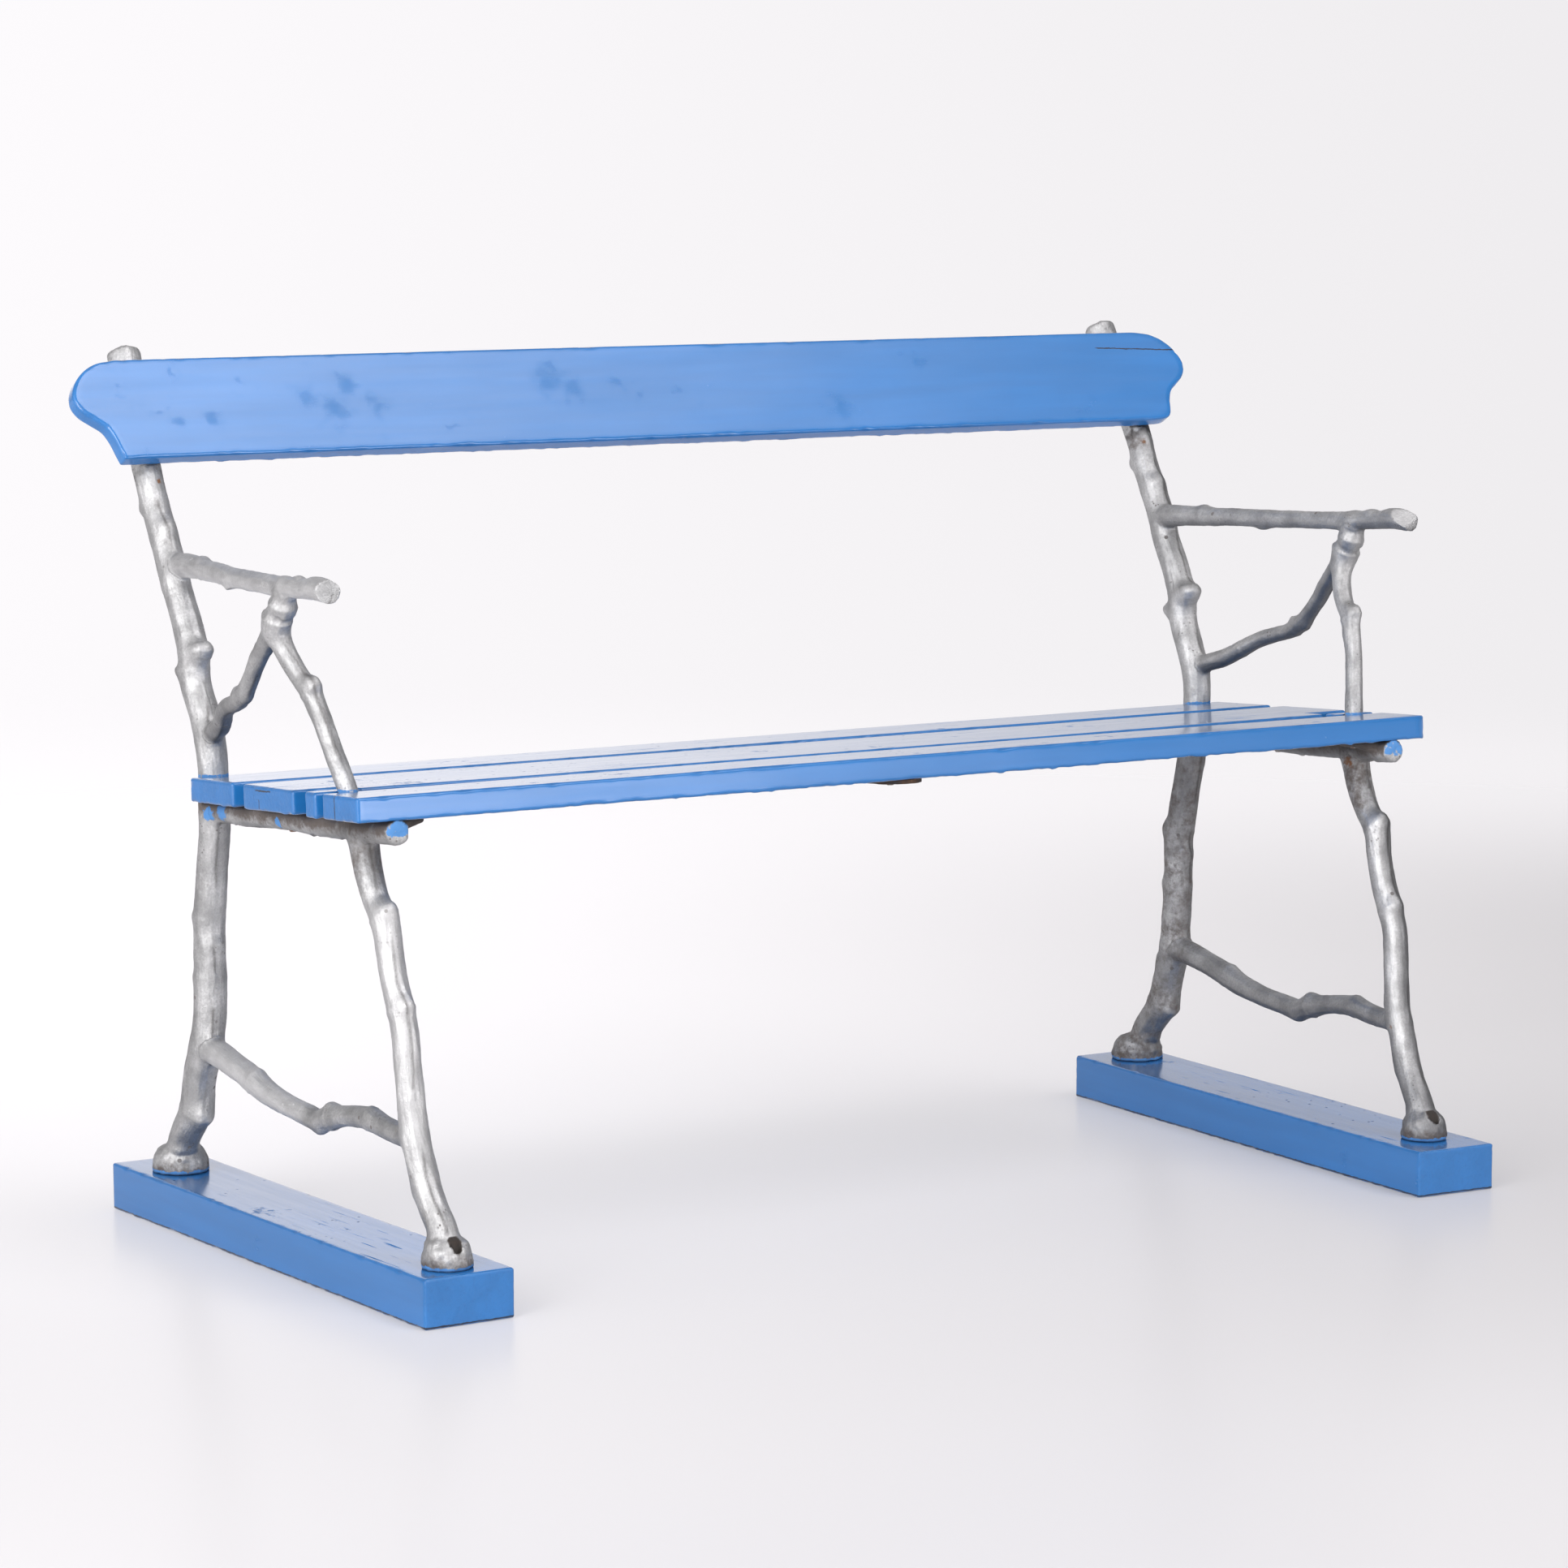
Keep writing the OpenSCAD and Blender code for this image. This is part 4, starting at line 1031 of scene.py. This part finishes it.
def outline_slab(outline, spine, thick, r, rows, side_rows):
    """A slab with any outline: from a spine on its back face out to the outline, round both
    arrises, and back in to the spine on its front face."""
    ahead = unit(np.roll(outline, -1, axis=0) - np.roll(outline, 1, axis=0))
    out = np.stack([ahead[:, 1], -ahead[:, 0]], 1)
    inner = outline - out * r
    room = np.linalg.norm(inner[:, None] - outline[None], axis=2).min(1)
    fair, index = room > r - 0.06, np.arange(len(outline))
    inner = np.stack([np.interp(index, index[fair], inner[fair, k]) for k in (0, 1)], 1)
    # One row of points after another: share from spine to inner line, lean outwards, depth
    arc = np.radians(np.linspace(0, 90, ARC))
    rise = np.concatenate([np.linspace(0, 1, rows + 1)[:-1], np.ones(ARC)])
    lean = np.concatenate([np.zeros(rows), np.sin(arc)])
    low = np.concatenate([np.zeros(rows), r * (1 - np.cos(arc))])
    wall = np.linspace(r, thick - r, side_rows + 2)[1:-1]
    share, lean, depth = (np.concatenate(k)[:, None] for k in (
        (rise, np.ones(side_rows), rise[::-1]), (lean, np.ones(side_rows), lean[::-1]),
        (low, wall, thick - low[::-1])))
    plan = spine + (inner - spine) * share[..., None] + (outline - inner) * lean[..., None]
    up = np.sqrt(np.maximum(1 - lean ** 2, 0)) * np.where(depth < thick / 2, -1, 1)
    points = spread(plan[..., 0], plan[..., 1], depth)
    normals = unit(spread(out[:, 0] * lean, out[:, 1] * lean, up))
    return points, normals, np.broadcast_to(4 * lean ** 2 * (1 - lean ** 2), points.shape[:2])


def rail_outline():
    """The rail's outline, anticlockwise from the lower left: straight edges at common
    stations, ogee ends, and corners eased by smoothing."""
    ogee = curve(OGEE, 10)
    right = spread(RAIL_L / 2 - ogee[:, 0] * OGEE_L, ogee[:, 1] * RAIL_W)
    common = np.arange(-RAIL_EVEN, RAIL_EVEN + 1, 4.0)
    tails = (np.arange(RAIL_EVEN + 4, right[k, 0], 4) for k in (-1, 0))
    bottom, top = (np.concatenate([-tail[::-1], common, tail]) for tail in tails)
    plan = np.concatenate([
        spread(bottom, 0.0), right[::-1], spread(top, RAIL_W)[::-1][1:-1], right * (-1, 1)])
    ends = np.abs(plan[:, 0]) > RAIL_EVEN + 2
    worn_corner = (plan[:, 0] > RAIL_EVEN + 20) & (plan[:, 1] < 14)
    for step in range(60):
        mean = (np.roll(plan, 1, axis=0) + np.roll(plan, -1, axis=0)) / 2
        move = ends if step < 3 else worn_corner
        plan = np.where(move[:, None], plan + 0.5 * (mean - plan), plan)
    return plan


def make_rail(timber):
    """The back rail: an ogee-ended board leaned back on the posts."""
    plan = rail_outline()
    spine = spread(np.clip(plan[:, 0], -RAIL_EVEN, RAIL_EVEN), RAIL_W / 2)
    points, normals, arris = outline_slab(plan, spine, RAIL_T, timber.arris / MM * 1.2, 14, 3)
    return timber_piece("top_rail", (points, normals, 0 * arris, arris), timber, 31, rail_world,
                        drip=0.7, low=1)


def make_strap():
    """The flat strap: a thin bar with round ends under the three boards."""
    r = STRAP_W / 2
    turn = np.radians(np.linspace(0, 180, 25))
    cap = spread(r * np.cos(turn), r * np.sin(turn))
    along = np.linspace(STRAP_FRONT + r, STRAP_REAR - r, 60)[1:-1]
    plan = np.concatenate([
        cap + (0, STRAP_REAR - r), spread(-r, along[::-1]),
        -cap + (0, STRAP_FRONT + r), spread(r, along)])
    spine = spread(0, np.clip(plan[:, 1], STRAP_FRONT + r, STRAP_REAR - r))
    points, normals, _ = outline_slab(plan, spine, STRAP_T, 1.2, 4, 1)
    flat = (points + (STRAP_X, 0, -STRAP_T)).reshape(-1, 3)
    normal = normals.reshape(-1, 3)
    dent = 0.35 * layered(flat / 9, 77, 3) - 0.15
    dent = np.where(normal[:, 2] > 0.5, np.minimum(dent, 0), dent)
    piece = mesh_piece(
        "flat_strap", seat_world(flat + normal * dent[:, None]), grid_quads(points), {})
    close_seams(piece)
    return piece


# Materials

class Nodes:
    """A node tree, with short calls for the nodes that the finishes and the world share."""

    def __init__(self, tree, output, coordinates):
        self.tree = tree
        tree.nodes.clear()
        self.output = self.add(output)
        self.place = self.add("ShaderNodeTexCoord").outputs[coordinates]
        self.base = None

    def add(self, kind, inputs=None, **options):
        """A new node. An input's value is a number, a colour or another node's output."""
        made = self.tree.nodes.new(kind)
        for key, value in options.items():
            setattr(made, key, value)
        for key, value in (inputs or {}).items():
            if isinstance(value, bpy.types.NodeSocket):
                self.tree.links.new(value, made.inputs[key])
            else:
                made.inputs[key].default_value = value
        return made

    def maths(self, kind, a, b=0.0, clamp=False):
        return self.add("ShaderNodeMath", {0: a, 1: b}, operation=kind, use_clamp=clamp).outputs[0]

    def chain(self, kind, first, *others):
        """One sum, product or maximum of several values."""
        for value in others:
            first = self.maths(kind, first, value)
        return first

    def times(self, *values):
        return self.chain("MULTIPLY", *values)

    def plus(self, *values):
        return self.chain("ADD", *values)

    def most(self, *values):
        return self.chain("MAXIMUM", *values)

    def attribute(self, name, vector=False):
        made = self.add("ShaderNodeAttribute", attribute_name=name)
        return made.outputs["Vector" if vector else "Fac"]

    def vector(self, kind, *values, output=0):
        made = self.add("ShaderNodeVectorMath", dict(enumerate(values)), operation=kind)
        return made.outputs[output]

    def along(self, direction):
        """How far each place lies in a direction."""
        return self.vector("DOT_PRODUCT", self.place, direction, output="Value")

    def noise(self, scale, detail=3.0, rough=0.5, over=None):
        """Noise over the finish's own places or others, of one scale or one for each axis."""
        over = over or self.place
        if isinstance(scale, tuple):
            over, scale = self.vector("MULTIPLY", over, scale), 1.0
        return self.add("ShaderNodeTexNoise", {
            "Vector": over, "Scale": scale, "Detail": detail, "Roughness": rough}).outputs[0]

    def spots(self, scale):
        """Distance from the nearest of many scattered points."""
        return self.add("ShaderNodeTexVoronoi", {
            "Vector": self.place, "Scale": scale, "Randomness": 1.0}).outputs["Distance"]

    def step(self, value, low, high, to_low=0.0, to_high=1.0):
        """An eased ramp from one value to another."""
        return self.add("ShaderNodeMapRange", {
            "Value": value, "From Min": low, "From Max": high, "To Min": to_low,
            "To Max": to_high}, interpolation_type="SMOOTHSTEP").outputs[0]

    def mix(self, share, a, b):
        """Mixes two colours: the share and the colours are this node's inputs 0, 6 and 7."""
        return self.add("ShaderNodeMix", {0: share, 6: a, 7: b}, data_type="RGBA").outputs[2]

    def lay(self, colour, *shares):
        """Lays a colour over the base, by the product of the shares."""
        self.base = self.mix(self.times(*shares), self.base, colour)

    def bump(self, height, distance, strength=1.0, under=None):
        inputs = {"Height": height, "Distance": distance, "Strength": strength}
        if under is not None:
            inputs["Normal"] = under
        return self.add("ShaderNodeBump", inputs).outputs[0]

    def blend(self, share, a, b):
        return self.add("ShaderNodeMixShader", {0: share, 1: a, 2: b}).outputs[0]

    def surface(self, roughness, normal, others=None):
        """Ends the finish: its base colour under one shader."""
        shader = self.add("ShaderNodeBsdfPrincipled", {
            "Base Color": self.base, "Roughness": roughness, "Normal": normal, **(others or {})})
        self.tree.links.new(shader.outputs[0], self.output.inputs[0])


def new_finish(name):
    """A new material and its nodes."""
    material = bpy.data.materials.new(name)
    material.use_nodes = True
    return material, Nodes(material.node_tree, "ShaderNodeOutputMaterial", "Object")


def rgb(colour, level=1.0):
    """A colour at a level of brightness, with full opacity."""
    return (*(min(c * level, 1) for c in colour[:3]), 1.0)


def blue_paint(timber):
    """Satin oil paint: brushed along the board, speckled, darker in scuffs and on end grain."""
    material, f = new_finish("blue_paint")
    f.place = f.attribute("grain", vector=True)
    end, worn, patch, line_offset, line_box, top = (
        f.attribute(k) for k in ("end", "worn", "patch", "line_offset", "line_box", "top"))
    brushed = f.noise((6, 130, 130), 4.0, 0.6)
    streaks = f.noise((3.5, 42, 42), 3.0, 0.55)
    f.base = f.mix(f.step(streaks, 0.3, 0.72), rgb(timber.paint, 0.93), rgb(timber.paint, 1.06))
    f.lay(rgb(timber.paint, 0.84), f.step(f.noise(7.0), 0.35, 0.75, 0, 0.35))
    scuff = f.times(f.step(f.noise(16.0, 4.0, 0.65), 0.62, 0.7),
                    f.step(f.noise(90.0, 2.0, 0.6), 0.45, 0.6), f.step(top, 0, 1, 0.3, 1))
    f.lay(rgb(timber.paint_dark), scuff, 0.35)
    speck = f.times(f.step(f.spots(75.0), 0.15, 0.08), f.step(f.noise(11.0), 0.5, 0.62), top)
    f.lay(rgb(SPECK), speck, 0.75)
    f.lay(rgb(timber.paint_dark, 0.8), worn, 0.4)
    f.lay(rgb(timber.paint_dark), end,
          f.step(f.noise((40, 260, 260), 3.0, 0.6), 0.5, 0.7, 0, 0.2))
    touched = f.step(f.plus(patch, f.times(f.noise(60.0, 5.0, 0.7), 2.4)), 1.35, 2.5)
    f.lay(rgb(timber.paint, 0.7), touched, 0.25)
    ragged = f.maths("SUBTRACT", f.times(f.noise(160.0, 3.0, 0.6), 2.2), 1.1)
    gap = f.maths("ABSOLUTE", f.plus(line_offset, ragged))
    # Dark cracks, and on the planks a painted contact shadow line
    f.lay(rgb(CRACK_AND_SHADOW_DARK), line_box, f.step(gap, 1.05, 0.45))
    scratch = f.times(f.step(f.noise((14, 330, 330), 2.0), 0.64, 0.69),
                      f.step(f.noise(9.0), 0.48, 0.62), top)
    broken = f.most(speck, scratch, f.times(scuff, 0.8), f.times(touched, 0.35))
    whole = f.maths("SUBTRACT", 1.0, broken)
    rough = f.plus(f.step(brushed, 0.2, 0.8, 0.17, 0.27),
                   f.times(f.maths("ADD", end, broken, clamp=True), 0.3))
    slant = f.add("ShaderNodeLayerWeight", {"Blend": 0.5}).outputs["Facing"]
    gloss = f.times(whole, f.step(slant, 0.6, 0.9, 0.25, 0.85))
    coarse = f.bump(f.plus(brushed, f.times(streaks, 2.0)), 0.0003, 0.2)
    normal = f.bump(f.noise(420.0, 3.0, 0.6), 0.0002, 0.2, coarse)
    normal = f.bump(f.times(end, f.noise(260.0, 2.0)), 0.0009, 0.5, normal)
    f.surface(rough, normal, {
        "Specular IOR Level": f.times(whole, 0.5), "Coat Weight": gloss,
        "Coat Roughness": 0.13, "Coat Normal": coarse})
    return material


def silver_paint(iron):
    """Aluminium paint on rough iron: bright and satin, with pits, dirt, rust and blue smears, and
    painted shade, painted light and painted shadow lines.
    """
    material, f = new_finish("silver_paint")
    bark = f.attribute("bark", vector=True)
    blue, rust, grime_and_shade, shade, seam_and_shadow = (
        f.attribute(k) for k in ("blue", "rust", "grime_and_shade", "shade", "seam_and_shadow"))
    long_grain = f.noise((45, 210, 210), 4.0, 0.6, bark)
    granular = f.noise(420.0, 3.0, 0.7)
    f.base = f.mix(f.step(f.noise(38.0, 4.0, 0.6), 0.3, 0.72),
                   rgb(iron.silver, 0.74), rgb(iron.silver, 1.14))
    f.lay(rgb(iron.silver, 0.45), f.step(granular, 0.35, 0.7, 0.35, 0))
    f.lay(rgb(iron.silver, 0.55), f.step(long_grain, 0.58, 0.8, 0, 0.5))
    small = f.times(f.step(f.spots(210.0), 0.3, 0.14), f.step(f.noise(30.0), 0.52, 0.68))
    flaw = f.step(f.noise(120.0, 4.0, 0.7), 0.73, 0.79)
    hole = f.times(f.step(f.spots(48.0), 0.13, 0.08), f.step(f.noise(17.0), 0.48, 0.56))
    pit = f.most(small, flaw, hole)
    f.lay(rgb(PIT), pit, 0.75)
    ragged = f.noise(170.0, 4.0, 0.65)
    fringe = f.times(ragged, 0.9)
    rusted = f.step(f.plus(rust, fringe), 0.95, 1.2)
    mottle = f.plus(ragged, f.times(f.noise(55.0, 4.0, 0.6), 1.4))
    # Brown dirt with painted shade, in mottled patches
    dirt_and_shade = f.times(f.step(f.plus(grime_and_shade, mottle), 1.35, 2.1), 0.9)
    painted = f.step(f.plus(blue, fringe), 0.92, 1.0)
    # Painted shade and painted light from the shade attribute, then brown dirt with painted shade,
    # rust, blue smears, and black seams with painted shadow lines
    for colour, share in (
            (PAINTED_SHADE_IRON, f.maths("MULTIPLY", shade, 0.8, clamp=True)),
            (PAINTED_LIGHT_IRON, f.maths("MULTIPLY", shade, -1.0, clamp=True)), (GRIME_AND_SHADE_BROWN, dirt_and_shade),
            (RUST, rusted), (BLUE_SMEAR, painted), (SEAM_AND_SHADOW_BLACK, f.times(seam_and_shadow, 0.95))):
        f.lay(rgb(colour), share)
    dull = f.most(painted, rusted, dirt_and_shade, pit)
    metal = f.times(f.maths("SUBTRACT", 1.0, dull), 0.9)
    rough = f.plus(f.step(long_grain, 0.25, 0.75, 0.45, 0.61), f.times(dull, 0.2))
    normal = f.bump(granular, 0.0007, 0.5, f.bump(long_grain, 0.0014, 0.6))
    f.surface(rough, normal, {"Metallic": metal, "Specular Tint": (0.4, 0.4, 0.42, 1.0)})
    return material


def rusty_iron():
    """Old bar iron: nearly black scale with spots of brown rust."""
    material, f = new_finish("rusty_iron")
    scale = f.noise(90.0, 5.0, 0.65)
    f.base = f.mix(f.step(scale, 0.35, 0.7), rgb(DARK_SCALE), rgb(BROWN_SCALE))
    f.lay(rgb(RUST_SPOT), f.step(f.noise(300.0), 0.6, 0.75, 0, 0.6))
    f.surface(f.step(scale, 0.3, 0.7, 0.6, 0.85), f.bump(scale, 0.0012, 0.7))
    return material


def screw_iron():
    """Screw heads: dull grey iron with a rusty bloom."""
    material, f = new_finish("screw_iron")
    bloom = f.noise(350.0, 4.0, 0.6)
    f.base = f.mix(f.step(bloom, 0.4, 0.62), rgb(SCREW_GREY), rgb(SCREW_RUST))
    f.surface(f.step(bloom, 0.3, 0.7, 0.35, 0.75), f.bump(bloom, 0.0004, 0.6),
              {"Metallic": f.step(bloom, 0.4, 0.62, 0.85, 0.1)})
    return material


def floor_paint(stage):
    """White studio floor that fades out to the backdrop beyond the bench. Camera and glossy rays
    see it partly as painted light, brighter further back and with painted shade to the right.
    """
    material, f = new_finish("studio_floor")
    shader = f.add("ShaderNodeBsdfPrincipled", {
        "Base Color": rgb(stage.floor), "Roughness": 0.27, "Specular IOR Level": 0.55})
    depth = f.along(BACKWARD)
    # Painted shade: the floor dimmed towards the right, behind its front part
    painted_dim = f.times(f.step(f.along(RIGHTWARD), -0.9, 2.4, 0, 1.0),
                  f.times(f.step(depth, -1.2, 0.3), f.step(depth, 4.0, 1.6)))
    # Painted light for camera and glossy rays, brighter further back, less the painted shade
    painted_glow = f.add("ShaderNodeEmission", {
        "Color": STUDIO_WHITE,
        "Strength": f.maths("SUBTRACT", f.step(depth, -0.9, 0.9, 0.68, 1.12), painted_dim)})
    path = f.add("ShaderNodeLightPath").outputs
    seen = f.most(*(path[f"Is {kind} Ray"] for kind in ("Camera", "Glossy", "Transmission")))
    pale = f.blend(f.times(seen, stage.pale), shader.outputs[0], painted_glow.outputs[0])
    away = f.vector("LENGTH", f.place, output="Value")
    clear = f.add("ShaderNodeBsdfTransparent").outputs[0]
    fade = f.blend(f.step(away, 2.2, 5.2), pale, clear)
    f.tree.links.new(fade, f.output.inputs[0])
    return material


# Stage

def make_floor(stage):
    """A round floor: rings of points about the middle, from the centre out to its rim."""
    turn = 2 * np.pi * np.arange(FLOOR_SIDES) / FLOOR_SIDES
    r = FLOOR_R * np.linspace(0, 1, FLOOR_RINGS)[:, None] ** 1.5
    rings = spread(r * np.cos(turn), r * np.sin(turn), -FLOOR_DROP)
    floor = mesh_piece("studio_floor", rings.reshape(-1, 3), grid_quads(rings), {})
    floor.data.materials.append(floor_paint(stage))


def make_softbox(stage):
    """A rectangular lamp on the left: its power is pi times area times radiance."""
    lamp = bpy.data.lights.new("edge", "AREA")
    lamp.shape = "RECTANGLE"
    lamp.size, lamp.size_y = SOFTBOX_SIZE
    lamp.energy = math.pi * math.prod(SOFTBOX_SIZE) * stage.edge
    box = link("edge", lamp)
    box.location = SOFTBOX_AT
    box.rotation_mode = "QUATERNION"
    box.rotation_quaternion = (SOFTBOX_AIM - SOFTBOX_AT).to_track_quat("-Z", "Y")


def light_world(stage):
    """A pale studio: white towards the backdrop and overhead, greyer behind the camera. The
    backdrop falls off to the right, and more so in mirrors and light than as it is seen."""
    world = bpy.data.worlds.new("studio")
    bpy.context.scene.world = world
    world.use_nodes = True
    w = Nodes(world.node_tree, "ShaderNodeOutputWorld", "Generated")

    def facing(direction, low, high, dark, bright):
        return w.step(w.along(Vector(direction).normalized()), low, high, dark, bright)

    back = facing(BACKWARD, 0.6, 0.9, stage.room, stage.backdrop)
    top = facing((0, 0, 1), 0.3, 1.0, 0.0, stage.ceiling)
    front = facing((-0.6, -0.7, 0.3), 0.2, 0.9, 0.0, stage.front)
    ground = facing((0, 0, -1), -0.02, 0.06, 0.0, stage.backdrop)
    level = w.times(w.most(back, top, front, ground),
                    facing(RIGHTWARD, -0.3, 0.3, 1.06, 0.88))
    unseen = w.maths("SUBTRACT", 1.0, w.add("ShaderNodeLightPath").outputs["Is Camera Ray"])
    change = w.times(facing(BACKWARD, 0.85, 0.97, 0.0, 1.0),
                     facing(RIGHTWARD, -0.12, 0.12, 0.15, -0.27), unseen)
    level = w.times(level, w.plus(1.0, change))
    for towards, reach, radiance in (
            (OVERHEAD, 0.925, stage.key), (AHEAD, 0.965, stage.fill),
            (BEHIND, 0.8, stage.bounce), (LEFTWARD, 0.6, stage.wash)):
        level = w.plus(level, facing(towards, reach, 1.0, 0.0, radiance))
    light = w.add("ShaderNodeBackground", {"Color": STUDIO_WHITE, "Strength": level})
    w.tree.links.new(light.outputs[0], w.output.inputs[0])


def make_camera():
    """The photograph's own viewpoint: place, axes and lens."""
    lens = bpy.data.cameras.new("camera")
    lens.sensor_width, lens.lens = SENSOR_W, LENS
    lens.clip_start, lens.clip_end = 0.1, 100
    camera = link("camera", lens)
    axes = Matrix((CAMERA_RIGHT, CAMERA_UP, CAMERA_BACK)).transposed()
    camera.matrix_world = Matrix.Translation(CAMERA_AT) @ axes.to_4x4()
    bpy.context.scene.camera = camera


# Settings

class BenchTimber(bpy.types.PropertyGroup):
    """Paint and edges of the boards"""
    paint: FloatVectorProperty(
        name="Paint", description="Colour of the timber's paint",
        subtype="COLOR", size=3, min=0, max=1, default=(0.016, 0.144, 0.4))
    paint_dark: FloatVectorProperty(
        name="Worn paint", description="Colour of scuffs and end grain",
        subtype="COLOR", size=3, min=0, max=1, default=(0.013, 0.085, 0.25))
    arris: FloatProperty(
        name="Arris", description="Radius of the rounded edges",
        unit="LENGTH", default=0.003, min=0.001, max=0.008)
    wear: FloatProperty(
        name="Wear", description="Depth of the nibbles in the edges",
        unit="LENGTH", default=0.0012, min=0, max=0.004)


class BenchIron(bpy.types.PropertyGroup):
    """Paint and bark of the castings"""
    silver: FloatVectorProperty(
        name="Silver", description="Colour of the castings' paint",
        subtype="COLOR", size=3, min=0, max=1, default=(0.53, 0.53, 0.53))
    skin: FloatProperty(
        name="Skin", description="Size of the castings' quads",
        unit="LENGTH", default=0.0019, min=0.0017, max=0.006)
    fillet: FloatProperty(
        name="Fillet", description="Reach of the swelling where branches meet",
        unit="LENGTH", default=0.01, min=0, max=0.03)
    facets: FloatProperty(
        name="Facets", description="How far the branches are flattened into long facets",
        subtype="FACTOR", default=0.2, min=0, max=1)
    bark: FloatProperty(
        name="Bark", description="Height of the bark's ridges",
        unit="LENGTH", default=0.001, min=0, max=0.003)


class BenchStage(bpy.types.PropertyGroup):
    """Floor and lights of the studio"""
    floor: FloatVectorProperty(
        name="Floor", description="Colour of the studio floor",
        subtype="COLOR", size=3, min=0, max=1, default=(0.87, 0.855, 0.865))
    # The share of the floor that camera and glossy rays see as painted light
    pale: FloatProperty(
        name="Pale", description="Share of the floor that shows as plain white paper",
        subtype="FACTOR", default=0.42, min=0, max=1)
    backdrop: FloatProperty(
        name="Backdrop", description="Brightness of the studio behind the bench",
        default=0.95, min=0, max=2)
    room: FloatProperty(
        name="Room", description="Brightness of the studio's dark sides",
        default=0.4, min=0, max=2)
    front: FloatProperty(
        name="Front", description="Brightness of the studio's camera side",
        default=0.3, min=0, max=2)
    ceiling: FloatProperty(
        name="Ceiling", description="Brightness overhead", default=0.7, min=0, max=2)
    key: FloatProperty(
        name="Key", description="Radiance of the soft light over the bench",
        default=5.8, min=0, max=20)
    fill: FloatProperty(
        name="Fill", description="Radiance of the soft light in front of the bench",
        default=7.8, min=0, max=20)
    bounce: FloatProperty(
        name="Bounce", description="Radiance of the soft light behind the camera",
        default=0.9, min=0, max=20)
    wash: FloatProperty(
        name="Wash", description="Radiance of the soft light on the left",
        default=1.5, min=0, max=20)
    edge: FloatProperty(
        name="Edge", description="Radiance of the softbox on the left",
        default=6.0, min=0, max=20)


# Operators

TIMBER_NODES = {
    "rear_board": "rear_seat_board", "middle_board": "middle_seat_board",
    "front_board": "front_seat_board", "left_block": "left_filler_block",
    "right_block": "right_filler_block", "left_plank": "left_foot_plank",
    "right_plank": "right_foot_plank", "top_rail": "back_rail"}


def settings(context):
    """The three groups of settings: timber, iron and stage."""
    scene = context.scene
    return scene.bench_timber, scene.bench_iron, scene.bench_stage


def dress(piece, finish, node):
    """A piece gets its finish, rides on the bench, and stands for its node."""
    piece.data.materials.append(finish)
    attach(piece, "root")
    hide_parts(node)


class BENCH_OT_castings(bpy.types.Operator):
    """Makes the two branch-shaped end frames"""
    bl_idname = "bench.castings"
    bl_label = "End frames"

    def execute(self, context):
        iron = settings(context)[1]
        finish = silver_paint(iron)
        for side in (LEFT, RIGHT):
            dress(make_casting(side, iron), finish,
                  f"{SIDE_NAMES[side]}_end_frame")
        return {"FINISHED"}


class BENCH_OT_timber(bpy.types.Operator):
    """Makes the seat boards, blocks, foot planks and back rail"""
    bl_idname = "bench.timber"
    bl_label = "Timber"

    def execute(self, context):
        timber = settings(context)[0]
        paint = blue_paint(timber)
        made = make_boards(timber)
        for side in (LEFT, RIGHT):
            made[f"{SIDE_NAMES[side]}_plank"] = make_plank(side, timber)
        made["top_rail"] = make_rail(timber)
        for name, piece in made.items():
            dress(piece, paint, TIMBER_NODES[name])
        return {"FINISHED"}


class BENCH_OT_strap(bpy.types.Operator):
    """Makes the rusty strap and finishes the screws"""
    bl_idname = "bench.strap"
    bl_label = "Strap and screws"

    def execute(self, context):
        dress(make_strap(), rusty_iron(), "centre_strap")
        finish = screw_iron()
        for name in ("foot_screws", "seat_screws", "rail_screws", "strap_screws"):
            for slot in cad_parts[name].material_slots:
                slot.material = finish
        return {"FINISHED"}


class BENCH_OT_stage(bpy.types.Operator):
    """Sets the floor, the lamps, the studio light and the camera"""
    bl_idname = "bench.stage"
    bl_label = "Stage"

    def execute(self, context):
        stage = settings(context)[2]
        context.scene.view_settings.view_transform = "Standard"
        make_camera()
        light_world(stage)
        make_floor(stage)
        make_softbox(stage)
        return {"FINISHED"}


class BENCH_PT_panel(bpy.types.Panel):
    """The bench's pieces in the sidebar"""
    bl_idname = "BENCH_PT_panel"
    bl_label = "Bench"
    bl_space_type = "VIEW_3D"
    bl_region_type = "UI"
    bl_category = "Bench"

    def draw(self, context):
        for group, steps in zip(settings(context), PANEL_STEPS):
            box = self.layout.box()
            for key in group.__annotations__:
                box.prop(group, key)
            for step in steps:
                box.operator(step)


GROUPS = {"bench_timber": BenchTimber, "bench_iron": BenchIron, "bench_stage": BenchStage}
OPERATORS = (BENCH_OT_castings, BENCH_OT_timber, BENCH_OT_strap, BENCH_OT_stage)
PANEL_STEPS = (("bench.timber",), ("bench.castings", "bench.strap"), ("bench.stage",))


def register():
    for group in (*GROUPS.values(), *OPERATORS, BENCH_PT_panel):
        bpy.utils.register_class(group)
    for key, group in GROUPS.items():
        setattr(bpy.types.Scene, key, PointerProperty(type=group))


def unregister():
    for key in GROUPS:
        delattr(bpy.types.Scene, key)
    for group in reversed((*GROUPS.values(), *OPERATORS, BENCH_PT_panel)):
        bpy.utils.unregister_class(group)


def main():
    register()
    bpy.ops.bench.stage()
    bpy.ops.bench.timber()
    bpy.ops.bench.castings()
    bpy.ops.bench.strap()


if __name__ == "__main__":
    main()
